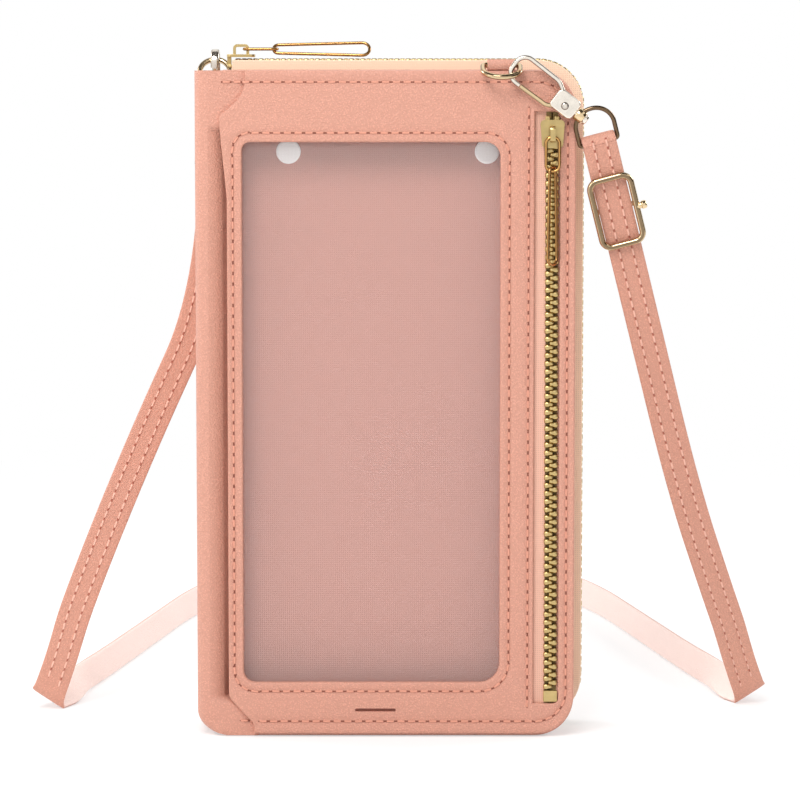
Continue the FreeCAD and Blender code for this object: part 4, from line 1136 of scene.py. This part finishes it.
PULL_WIRE, LINK_HALF, LINK_LENGTH = 0.45 * MM, 1.9 * MM, 7.6 * MM
LOOP_LENGTH, LOOP_WIDE, LOOP_NARROW, LOOP_PLAY = 26.0 * MM, 2.4 * MM, 1.5 * MM, 0.15 * MM
LOOP_TURNS = {"main": np.radians(50), "coin": np.radians(55)}
BEND_SHARE = 0.9


def rounded_bar(start, stop, half, far_half):
    """A long loop's corners, with one half width at its start and another at its far end."""
    near, far = half * BEND_SHARE, far_half * BEND_SHARE
    return [(start, -half, near), (stop, -far_half, far), (stop, far_half, far), (start, half, near)]


class POUCH_OT_pulls(bpy.types.Operator):
    """Makes the link and long loop on each slider"""
    bl_idname = "pouch.pulls"
    bl_label = "Zip Pulls"

    def execute(self, context):
        for side, along, across, normal in (("main", X, Y, Z), ("coin", -Z, X, Y)):
            start = pivot(side + "_link_swing") + along * LINK_HALF
            link = rounded_bar(-LINK_HALF, LINK_LENGTH, LINK_HALF, LINK_HALF)
            wire = closed_wire(link, start, along, across, PULL_WIRE)
            piece(side + "_pull_link", wire, polished("pull_gold"), side + "_link", "hardware_gold",
                  side + "_link")
            hang = pivot(side + "_loop_swing") + along * (LOOP_NARROW - 2 * PULL_WIRE - LOOP_PLAY)
            loop = rounded_bar(-LOOP_NARROW, LOOP_LENGTH, LOOP_NARROW, LOOP_WIDE)
            tilt = across * np.cos(LOOP_TURNS[side]) + normal * np.sin(LOOP_TURNS[side])
            wire = closed_wire(loop, hang, along, tilt, PULL_WIRE)
            piece(side + "_pull_loop", wire, polished("pull_gold"), side + "_loop", "hardware_gold",
                  side + "_loop")
        return {"FINISHED"}


RING_WIRE, RING_CORNER, RING_REACH, RING_SLACK = 0.8 * MM, 1.2 * MM, 8.6 * MM, 0.15 * MM
RING_HALVES = {"right": 5.2 * MM, "left": 4.4 * MM}
RIGHT_DROOP, LEFT_RISE = np.radians(23), np.radians(55)
TAB_NOSE, TAB_FREE, TAB_SEWN, TAB_SOFT = 1.5 * MM, 0.9 * MM, 0.5 * MM, 0.35 * MM
TAB_RADII = {"right": (TAB_NOSE, TAB_SEWN, TAB_FREE, TAB_NOSE),
             "left": (TAB_SEWN, TAB_FREE, TAB_NOSE, TAB_NOSE)}
TAB_END_SHARE = 0.1


class POUCH_OT_d_rings(bpy.types.Operator):
    """Makes the two D-rings and their folded leather tabs"""
    bl_idname = "pouch.d_rings"
    bl_label = "D-rings and Tabs"

    def execute(self, context):
        outs = {"right": np.array([0, -np.cos(RIGHT_DROOP), -np.sin(RIGHT_DROOP)]),
                "left": np.array([0, np.cos(LEFT_RISE), np.sin(LEFT_RISE)])}
        for side, out in outs.items():
            half, node = RING_HALVES[side], "d_ring_" + side
            corners = d_corners(half, 0, RING_REACH, RING_CORNER, half - RING_SLACK)
            ring = closed_wire(corners, pivot(node + "_swing"), X, out, RING_WIRE)
            piece("ring_" + side, ring, polished("ring_gold"), node, "hardware_gold", node)
            self.tab(side)
        return {"FINISHED"}

    def tab(self, side):
        """A folded ply round the ring's bar: a hairpin section drawn out along X, with rounded ends."""
        a, b = low("tab_" + side), high("tab_" + side)
        corners = rect(a[1], b[1], a[2], b[2], 0)
        loop = rounded([(y, z, r) for (y, z, _), r in zip(corners, TAB_RADII[side])], step=TAB_SOFT / 2)
        normal = outward(loop)
        soft, mid = TAB_SOFT, EDGE_MID_SHARE * TAB_SOFT
        ends = [(soft, a[0]), (TAB_END_SHARE * soft, a[0] + mid), (0, a[0] + soft), (0, b[0] - soft),
                (TAB_END_SHARE * soft, b[0] - mid), (soft, b[0])]
        grid = np.stack([np.insert(loop - normal * inset, 0, x, axis=1) for inset, x in ends])
        piece("tab_leather_" + side, grid_mesh(grid), leather(), "pouch", "leather", "tab_" + side)


def hook_frame(side):
    """A hook's seat in its ring, and its directions along, across and through."""
    along = np.array(JOINTS["hook_%s_swivel" % side]["axis"], float)
    along, across = (-along, Y) if side == "left" else (along, np.array([-along[2], 0, along[0]]))
    return pivot("hook_%s_swivel" % side), along, across, np.cross(along, across)


# The hook's outlines as (along, across, radius), and its turned parts as (along, radius)
CLAW = np.array([(5.4, -3.95, 0), (0.65, -3.95, 3.2), (0.65, 3.95, 3.2), (13.5, 3.95, 4.0), (17.5, 1.6, 1.0),
                 (18.5, 1.6, 0)]) * MM
CLAW_BAR, CLAW_T = 1.35 * MM, 2.4 * MM
LEVER = np.array([(5.7, -3.9, 0), (14.6, -3.6, 3.0), (19.4, -0.6, 0)]) * MM
LEVER_BAR, LEVER_T = 1.3 * MM, 1.0 * MM
CHEEK = np.array([(15.0, -3.0, 1.2), (22.5, -3.0, 1.4), (22.5, 3.0, 1.4), (15.0, 3.0, 1.6)]) * MM
CHEEK_GAP, CHEEK_OUT, CHEEK_SOFT = 0.8 * MM, 1.9 * MM, 0.35 * MM
WEBS = (np.array([(21.3, -2.6, 0.2), (22.3, -2.6, 0.2), (22.3, 2.6, 0.2), (21.3, 2.6, 0.2)]) * MM,
        np.array([(15.4, 1.4, 0.2), (22.3, 1.4, 0.2), (22.3, 2.7, 0.2), (15.4, 2.7, 0.2)]) * MM)
NECK_AT, PIN_AT, PIN_ACROSS, FERRULE_AT = 22.3 * MM, 19.0 * MM, -0.6 * MM, 22.8 * MM
NECK = np.array([(0, 0), (0, 1.0), (3.4, 1.0), (3.4, 1.6), (4.0, 1.6), (4.25, 1.3), (4.3, 0)]) * MM
RIVET = np.array([(-2.3, 0), (-2.28, 0.6), (-2.1, 1.0), (-1.9, 1.1), (1.9, 1.1), (2.1, 1.0), (2.28, 0.6),
                  (2.3, 0)]) * MM
# Painted dark reflection on the rivet's shaft and sloping rim, pale at its crowns
RIVET_PAINTED_REFLECTION = np.array([0.0, 0.3, 0.9, 1.0, 1.0, 0.9, 0.3, 0.0])
FERRULE = np.array([(0, 1.05), (0, 1.7), (0.2, 1.9), (2.4, 1.9), (2.6, 1.7), (2.6, 1.05), (0, 1.05)]) * MM
# The last is how much painted dark reflection the hook's bars take on their narrow sides
BAR_STEP, HOOK_POWER, HOOK_SIDES, HOOK_PAINTED_REFLECTION = 0.25 * MM, 3.0, 20, 0.8


def bar_along(outline, seat, along, across, through, width, thick):
    """A rounded flat bar carried along an open outline; its narrow sides are marked with painted dark
    reflection.
    """
    path = plane_points(rounded(outline, closed=False, step=BAR_STEP), seat, along, across)
    path = spaced(path, BAR_STEP)
    profile = round_profile(width, thick, HOOK_POWER, HOOK_SIDES)
    dark = painted_flank_reflection(profile[:, 0] / (width / 2)) * HOOK_PAINTED_REFLECTION
    side = unit(np.cross(tangents(path), through))
    return sweep(path, side, np.broadcast_to(through, path.shape), profile, mark=dark)


class POUCH_OT_hooks(bpy.types.Operator):
    """Makes the two snap hooks: claw, barrel, neck, gate and rivet"""
    bl_idname = "pouch.hooks"
    bl_label = "Snap Hooks"

    def execute(self, context):
        steel, gold = polished("hook_steel"), polished("ring_gold")
        for side in ("right", "left"):
            seat, a, b, c = hook_frame(side)
            claw = bar_along(CLAW, seat, a, b, c, CLAW_BAR, CLAW_T)
            body = join(claw, self.barrel(seat, a, b, c), lathe(seat + a * NECK_AT, a, NECK))
            piece("hook_metal_" + side, body, steel, "hook_" + side, "hook_silver", "hook_" + side)
            # The rivet's sloping rim takes painted dark reflection.
            rivet = lathe(seat + a * PIN_AT + b * PIN_ACROSS, c, RIVET, mark=RIVET_PAINTED_REFLECTION)
            piece("rivet_" + side, rivet, steel, "hook_" + side, "hook_silver", "gate_pin_" + side)
            lever = bar_along(LEVER, seat, a, b, c, LEVER_BAR, LEVER_T)
            piece("gate_metal_" + side, lever, gold, "gate_" + side, "hook_silver", "gate_" + side)
        return {"FINISHED"}

    def barrel(self, seat, a, b, c):
        """The barrel's two cheeks, softened plates, and the webs that close the gate's slot between them."""
        loop = rounded(CHEEK, step=PLATE_STEP)
        normal, soft, mid = outward(loop), CHEEK_SOFT, EDGE_MID_SHARE * CHEEK_SOFT
        steps = [(2 * soft, CHEEK_GAP), (0, CHEEK_GAP), (0, CHEEK_OUT - soft), (mid, CHEEK_OUT - mid),
                 (soft, CHEEK_OUT), (2 * soft, CHEEK_OUT)]
        plies = [grid_mesh(np.stack([plane_points(loop - normal * inset, seat + c * depth * way, a, b)
                                     for inset, depth in steps])) for way in (1, -1)]
        webs = [grid_mesh(np.stack([plane_points(rounded(web, step=PLATE_STEP), seat + c * depth, a, b)
                                    for depth in (-CHEEK_GAP, CHEEK_GAP)])) for web in WEBS]
        return join(*plies, *webs)


AIMS = {"right": unit(np.array([0.245, 0.248, -0.937])), "left": unit(np.array([-0.03, 0.02, -1.0]))}
EYE_R, EYE_DROP, EYE_WIRE, EYE_CORNER, COLLAR_AT = 5.5 * MM, 4.6 * MM, 0.65 * MM, 0.7 * MM, 24.1 * MM
STRAP_BORE, STRAP_T, STRAP_WIDTH = 0.9 * MM, 1.6 * MM, 9.6 * MM
# The eye ring takes the dark bronze nearly all over; the buckle's wire takes painted dark reflection
# everywhere but its flanks.
EYE_PATINA, CORE_PAINTED_REFLECTION = 0.9, 0.8


def strap_end(side):
    """The swivel eye's centre, and the strap's run, facing and width directions there."""
    seat, along, _, _ = hook_frame(side)
    run = AIMS[side]
    facing = unit(-Y + run * run[1])
    up = unit(-along + facing * np.dot(along, facing))
    return seat + along * COLLAR_AT - up * EYE_R, run, facing, np.cross(facing, run)


def strap_start(side):
    """The middle of the strap's thickness where it leaves the eye's bar."""
    centre, run, facing, _ = strap_end(side)
    return centre + run * EYE_DROP + facing * (STRAP_BORE + STRAP_T / 2)


class POUCH_OT_eyes(bpy.types.Operator):
    """Makes the swivel eyes that hold the strap's ends"""
    bl_idname = "pouch.eyes"
    bl_label = "Swivel Eyes"

    def execute(self, context):
        for side in ("right", "left"):
            seat, along, _, _ = hook_frame(side)
            centre, run, _, width = strap_end(side)
            corners = d_corners(EYE_R, -EYE_DROP, EYE_R, EYE_CORNER, EYE_R - RING_SLACK)
            points, cells, marks = closed_wire(corners, centre, width, -run, EYE_WIRE)
            ring = points, cells, np.maximum(marks, EYE_PATINA)
            ferrule = lathe(seat + along * FERRULE_AT, along, FERRULE)
            piece("eye_ring_" + side, join(ring, ferrule), polished("ring_gold"), "pouch", "hardware_gold",
                  "eye_" + side)
        return {"FINISHED"}


BUCKLE_WIRE, BUCKLE_GAP, BUCKLE_BAR, BUCKLE_SIDE_GAP = 0.9 * MM, 0.25 * MM, 0.75 * MM, 0.35 * MM
BUCKLE_DOWN, BUCKLE_HALF, BUCKLE_CORNER = 20.0 * MM, 10.0 * MM, 2.6 * MM
STAPLE_PLAY, STAPLE_TOP, STAPLE_BEND = 0.15 * MM, 0.5 * MM, 0.9 * MM
KNOB = np.array([(0, 0), (0, 0.9), (1.3, 0.9), (1.5, 1.2), (2.5, 1.2), (2.9, 0.8), (2.95, 0)]) * MM


class POUCH_OT_buckle(bpy.types.Operator):
    """Makes the strap's slide buckle with its knob and bar"""
    bl_idname = "pouch.buckle"
    bl_label = "Buckle"

    def execute(self, context):
        _, run, facing, width = strap_end("right")
        level = STRAP_T / 2 + BUCKLE_GAP + BUCKLE_WIRE
        side = STRAP_WIDTH / 2 + BUCKLE_SIDE_GAP + BUCKLE_BAR
        middle = strap_start("right") + run * BUCKLE_DOWN + facing * level
        corners = rect(-side, side, -BUCKLE_HALF, BUCKLE_HALF, BUCKLE_CORNER)
        ring = closed_wire(corners, middle, width, run, BUCKLE_WIRE)
        right = width if width[0] > 0 else -width
        knob = lathe(middle + right * side, right, KNOB)
        # The buckle's wire takes painted dark reflection on its crown and edges, pale on its flanks.
        ring = ring[0], ring[1], CORE_PAINTED_REFLECTION * (1 - ring[2])
        piece("buckle_ring", join(ring, knob), polished("ring_gold"), "buckle", "hardware_gold",
              "buckle_frame")
        depth = level + STRAP_T / 2 + BUCKLE_BAR + STAPLE_PLAY
        staple = [(-side, -STAPLE_TOP, 0), (-side, -depth, STAPLE_BEND), (side, -depth, STAPLE_BEND),
                  (side, -STAPLE_TOP, 0)]
        path = spaced(rounded(staple, closed=False, step=BAR_STEP), BAR_STEP)
        bar = tube(plane_points(path, middle, width, facing), BUCKLE_BAR, np.cross(width, facing))
        piece("buckle_staple", bar, polished("ring_gold"), "buckle", "hardware_gold", "buckle_bar")
        return {"FINISHED"}


# The strap

BELOW = {"right": 108.0 * MM, "left": 36.0 * MM}
ROUTE_RIGHT = np.array([(97.0, 24.0, 35.0), (104.6, 33.9, 14.6), (108.2, 38.6, 5.0), (107.0, 41.1, 5.0),
                        (104.2, 47.0, 5.0), (96.5, 74.0, 5.0), (85.0, 140.0, 5.0), (69.5, 230.0, 5.0),
                        (43.0, 283.0, 5.0)]) * MM
ROUTE_BACK = np.array([(0.0, 302.0, 5.0)]) * MM
ROUTE_LEFT = np.array([(-43.0, 278.0, 5.0), (-67.5, 223.0, 5.0), (-80.5, 140.0, 5.0), (-91.0, 74.0, 5.0),
                       (-97.4, 42.0, 5.0), (-101.2, 32.9, 5.0), (-102.8, 29.0, 5.0), (-99.3, 28.5, 14.7),
                       (-89.5, 27.0, 42.0), (-72.0, 25.0, 84.0)]) * MM
BEND_Y = 200.0 * MM
FOLDS = {"right": ROUTE_RIGHT[2], "left": ROUTE_LEFT[6]}
CREASE = np.array([0.82, -0.14, 0.57])
CREASE_REACH, CREASE_FADE, CREASE_FLOOR_FADE = 6.0 * MM, 26.0 * MM, 40.0 * MM
STITCH_ROWS = np.array([-1.9, 1.9]) * MM
SEWN_BACK = {"right": 16.0 * MM, "left": 14.0 * MM}
SEWN_FROM, SEWN_GAP = 6.0 * MM, 0.05 * MM
STRAP_SECTIONS, CURVE_STEPS, CURVE_ORDER, TURN_POINTS, TAIL_POINTS = 1800, 24, 3, 24, 40
STRAP_POWER, STRAP_SIDES = 7.0, 28


def strap_route():
    """The strap's route from its right end to its left, and its face at each of the route's points."""
    right, left = strap_start("right"), strap_start("left")
    hang = AIMS["right"] * BELOW["right"]
    route = np.vstack([right, right + hang / 2, right + hang, ROUTE_RIGHT, ROUTE_BACK, ROUTE_LEFT,
                       left + AIMS["left"] * BELOW["left"], left])
    away = np.column_stack([route[:, 0], np.maximum(route[:, 1] - BEND_Y, 0), 0 * route[:, 0]])
    away = unit(away + TINY * Y)
    return route, np.where(route[:, 2:] > STRAP_WIDTH, -Y, away)


def creased(points, along, side):
    """Sections turned along the crease near each fold, so that the strap bends round it as a cylinder.

    A section along the crease is longer by 1 / sin(its angle to the strap), which keeps the strap's width.
    The share of the crease is 1 within its reach and fades to 0, further out on the floor.
    """
    run = run_of(points)
    sunk = np.zeros(len(points))
    for fold in FOLDS.values():
        at = int(np.argmin(np.linalg.norm(points - fold, axis=1)))
        ahead = (run - run[at]) * np.sign(fold[0])
        crease = CREASE * (np.sign(fold[0]), 1, 1)
        crease = unit(crease) * np.sign((crease * side[at]).sum())
        fade = np.where(ahead > 0, CREASE_FLOOR_FADE, CREASE_FADE)
        share = smooth(np.abs(ahead), fade, CREASE_REACH)[:, None]
        skew = crease / np.sqrt(1 - (along * crease).sum(1, keepdims=True) ** 2)
        side = side + share * (skew - side)
        points = points - Z * share * STRAP_WIDTH / 2 * (1 - np.abs(side[:, 2:]))
        sunk = np.maximum(sunk, smooth(np.abs(ahead), CREASE_REACH, CREASE_REACH / 2))
    return points, side, unit(np.cross(side, along)), sunk[:, None]


def spline_points(route):
    """Points read from a NURBS curve that has the route as its control points."""
    curve = bpy.data.curves.new("strap_route", "CURVE")
    curve.dimensions = "3D"
    curve.resolution_u = CURVE_STEPS
    spline = curve.splines.new("NURBS")
    spline.points.add(len(route) - 1)
    spline.points.foreach_set("co", np.column_stack([route, np.ones(len(route))]).ravel())
    spline.order_u = CURVE_ORDER
    spline.use_endpoint_u = True
    holder = add_object("strap_route", curve)
    bpy.context.view_layer.update()
    line = bpy.data.meshes.new_from_object(holder.evaluated_get(bpy.context.evaluated_depsgraph_get()))
    points = np.empty(len(line.vertices) * 3)
    line.vertices.foreach_get("co", points)
    bpy.data.objects.remove(holder)
    return points.reshape(-1, 3)


def strap_profile():
    """The strap's section, and marks of 1 on its pale back."""
    profile = round_profile(STRAP_WIDTH, STRAP_T, STRAP_POWER, STRAP_SIDES)
    return profile, (profile[:, 1] < 0).astype(float)


class POUCH_OT_strap(bpy.types.Operator):
    """Makes the shoulder strap, its turned ends and its two rows of stitches"""
    bl_idname = "pouch.strap"
    bl_label = "Strap"

    def execute(self, context):
        route, faces = strap_route()
        line = resample(np.column_stack([spline_points(route), spline_points(faces)]), STRAP_SECTIONS)
        points, facing = line[:, :3], line[:, 3:]
        along = tangents(points)
        facing = unit(facing - along * (facing * along).sum(1, keepdims=True))
        points, side, facing, sunk = creased(points, along, np.cross(along, facing))
        profile, back = strap_profile()
        strap = piece("strap_band", sweep(points, side, facing, profile, mark=back), strap_hide(), "pouch",
                      "strap_leather", "strap")
        # In the folds the thread sinks into the strap.
        face = points + facing * STRAP_T * (1 - sunk) / 2
        rows = [sewing("strap_stitch_%d" % (i + 1), face + side * offset, facing, "pouch", "strap_leather",
                       strap_thread()) for i, offset in enumerate(STITCH_ROWS)]
        ends = [self.turned_end(end) for end in ("right", "left")]
        return {"FINISHED"}

    def turned_end(self, side):
        """The strap's ply turned round the eye's bar: half a circle, then down to the strap's back.

        Below the bar the ply nears the back by a smooth step of its length, and lies flat where it is sewn.
        """
        centre, run, facing, width = strap_end(side)
        r = STRAP_BORE + STRAP_T / 2
        t = np.linspace(0, np.pi, TURN_POINTS)
        arc = np.stack([-np.sin(t) * r, np.cos(t) * r], 1)
        down = np.linspace(0, SEWN_BACK[side], TAIL_POINTS)[1:]
        tail = np.stack([down, smooth(down, 0, SEWN_FROM) * (2 * r - STRAP_T - SEWN_GAP) - r], 1)
        path = plane_points(spaced(np.vstack([arc, tail]), BAR_STEP), centre + run * EYE_DROP, run, facing)
        out = np.cross(tangents(path), width)
        profile, back = strap_profile()
        ply = sweep(path, np.broadcast_to(width, path.shape), out, profile, mark=1 - back)
        return piece("strap_turn_" + side, ply, strap_hide(), "pouch", "strap_leather",
                     "strap_return_" + side)


# The stage

FLOOR_HALF, FLOOR_SINK, FLOOR_ROUGH, SENSOR = 30.0, -0.2 * MM, 0.9, 36.0
GLOW_NEAR, GLOW_FAR, GLOW_SHARES = 0.2, 0.7, (0.45, 1.0)
# Each lamp's place, size and power, and each dark card's middle and half sizes
LAMPS = {"key": ((-0.18, -0.55, 0.68), 0.35, 4.2), "left": ((-1.0, -0.6, 0.5), 0.6, 2.0),
         "top": ((0.0, -0.1, 1.2), 0.5, 2.6), "rim_left": ((-0.9, 0.45, 0.6), 0.4, 4.5),
         "rim_right": ((0.9, 0.45, 0.6), 0.4, 4.5)}
LAMP_AIM = np.array([0, 0, 0.12])
CARD_COLOUR, CARD_ROUGH = (0.02, 0.016, 0.012), 1.0
SKY_LIGHT = 0.57
FLAGS = {"top_flag": ((0, -0.3, 0.95), (0.7, 0.6, 0)), "right_flag": ((0.95, -0.3, 0.2), (0, 0.6, 0.5))}


def seen_rays(nodes, links):
    """1 for the rays that see the background as it is: from the camera, mirrored or through glass."""
    rays = nodes.new("ShaderNodeLightPath")
    total = rays.outputs["Is Camera Ray"]
    for output in ("Is Glossy Ray", "Is Transmission Ray"):
        total = math_node(nodes, links, "MAXIMUM", total, rays.outputs[output])
    return total


def stage_card(name, corners, material):
    """A flat card with four corners that belongs to the stage."""
    data = bpy.data.meshes.new(name)
    data.from_pydata(corners.tolist(), [], [(0, 1, 2, 3)])
    data.materials.append(material)
    obj = add_object(name, data)
    return obj


def show_white(nodes, links, factor, plain, white, output):
    """Shows a plain surface, and a white one by a factor."""
    mix = nodes.new("ShaderNodeMixShader")
    for value, place in ((factor, 0), (plain, 1), (white, 2)):
        links.new(value, mix.inputs[place])
    links.new(mix.outputs["Shader"], nodes[output].inputs["Surface"])


class POUCH_OT_stage(bpy.types.Operator):
    """Makes the floor, the soft studio light and the camera"""
    bl_idname = "pouch.stage"
    bl_label = "Stage"

    def execute(self, context):
        p = context.scene.pouch_stage
        self.floor(p.floor)
        self.light()
        self.flags()
        camera = bpy.data.cameras.new("camera")
        camera.lens, camera.sensor_width = p.lens, SENSOR
        holder = add_object("camera", camera)
        holder.location = p.eye
        holder.rotation_euler = (np.pi / 2 - p.tilt, 0, 0)
        context.scene.camera = holder
        context.scene.view_settings.view_transform = "Standard"
        return {"FINISHED"}

    def floor(self, colour):
        """A wide pale sheet under the pouch; where it is seen it turns evenly white away from the pouch."""
        material, nodes, links, surface = shader("pale_floor", colour, FLOOR_ROUGH)
        white = nodes.new("ShaderNodeEmission")
        place = nodes.new("ShaderNodeTexCoord")
        far = nodes.new("ShaderNodeVectorMath")
        far.operation = "LENGTH"
        links.new(place.outputs["Object"], far.inputs[0])
        glow = nodes.new("ShaderNodeMapRange")
        glow.interpolation_type = "SMOOTHSTEP"
        glow.inputs["From Min"].default_value, glow.inputs["From Max"].default_value = GLOW_NEAR, GLOW_FAR
        glow.inputs["To Min"].default_value, glow.inputs["To Max"].default_value = GLOW_SHARES
        links.new(far.outputs["Value"], glow.inputs["Value"])
        share = math_node(nodes, links, "MULTIPLY", seen_rays(nodes, links), glow.outputs["Result"])
        show_white(nodes, links, share, surface.outputs["BSDF"], white.outputs["Emission"], "Material Output")
        corners = FLOOR_HALF * np.array([(-1, -1, 0), (1, -1, 0), (1, 1, 0), (-1, 1, 0)]) + FLOOR_SINK * Z
        stage_card("floor", corners, material)

    def light(self):
        """An even pale sky, white where it is seen, and soft lamps around."""
        world = bpy.data.worlds.new("studio")
        bpy.context.scene.world = world
        world.use_nodes = True
        nodes, links = world.node_tree.nodes, world.node_tree.links
        sky = nodes["Background"]
        sky.inputs["Color"].default_value = (1, 1, 1, 1)
        sky.inputs["Strength"].default_value = SKY_LIGHT
        seen = nodes.new("ShaderNodeBackground")
        seen.inputs["Color"].default_value = (1, 1, 1, 1)
        show_white(nodes, links, seen_rays(nodes, links), sky.outputs["Background"],
                   seen.outputs["Background"], "World Output")
        for name, (place, size, power) in LAMPS.items():
            lamp = bpy.data.lights.new(name, "AREA")
            lamp.size, lamp.energy = size, power
            holder = add_object(name, lamp)
            holder.location = place
            holder.rotation_euler = Vector(LAMP_AIM - np.array(place)).to_track_quat("-Z", "Y").to_euler()

    def flags(self):
        """Dark cards beside and above the pouch that only mirrored rays see, for contrast in the metal."""
        dark, _, _, _ = shader("dark_card", CARD_COLOUR, CARD_ROUGH)
        for name, (place, half) in FLAGS.items():
            first, second = [axis * reach for axis, reach in zip((X, Y, Z), half) if reach]
            ways = np.stack([-first - second, first - second, first + second, second - first])
            card = stage_card(name, np.array(place) + ways, dark)
            card.visible_camera = card.visible_diffuse = False
            card.visible_shadow = card.visible_transmission = False


class POUCH_PT_pieces(bpy.types.Panel):
    """Lists the pieces of the pouch"""
    bl_idname = "POUCH_PT_pieces"
    bl_label = "Phone Pouch"
    bl_space_type = "VIEW_3D"
    bl_region_type = "UI"
    bl_category = "Pouch"

    def draw(self, context):
        for operator in OPERATORS:
            self.layout.operator(operator.bl_idname)
        for group in GROUPS:
            settings = getattr(context.scene, group)
            for prop in settings.__annotations__:
                self.layout.prop(settings, prop)


GROUPS = {"pouch_leather": PouchLeather, "pouch_sewing": PouchSewing, "pouch_metal": PouchMetal,
          "pouch_stage": PouchStage}
OPERATORS = (POUCH_OT_stage, POUCH_OT_window_frame, POUCH_OT_edge_strip, POUCH_OT_front_cover, POUCH_OT_spine,
             POUCH_OT_pocket, POUCH_OT_linings, POUCH_OT_back_cover, POUCH_OT_zip_tapes, POUCH_OT_zip_metal,
             POUCH_OT_pulls, POUCH_OT_d_rings, POUCH_OT_hooks, POUCH_OT_eyes, POUCH_OT_buckle, POUCH_OT_strap)


def register():
    for group in GROUPS.values():
        bpy.utils.register_class(group)
    for name, group in GROUPS.items():
        setattr(bpy.types.Scene, name, bpy.props.PointerProperty(type=group))
    for cls in (*OPERATORS, POUCH_PT_pieces):
        bpy.utils.register_class(cls)


def unregister():
    for cls in reversed((*OPERATORS, POUCH_PT_pieces)):
        bpy.utils.unregister_class(cls)
    for name, group in GROUPS.items():
        delattr(bpy.types.Scene, name)
        bpy.utils.unregister_class(group)


def main():
    """Registers the classes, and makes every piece."""
    register()
    for operator in OPERATORS:
        module, name = operator.bl_idname.split(".")
        getattr(getattr(bpy.ops, module), name)()


if __name__ == "__main__":
    main()
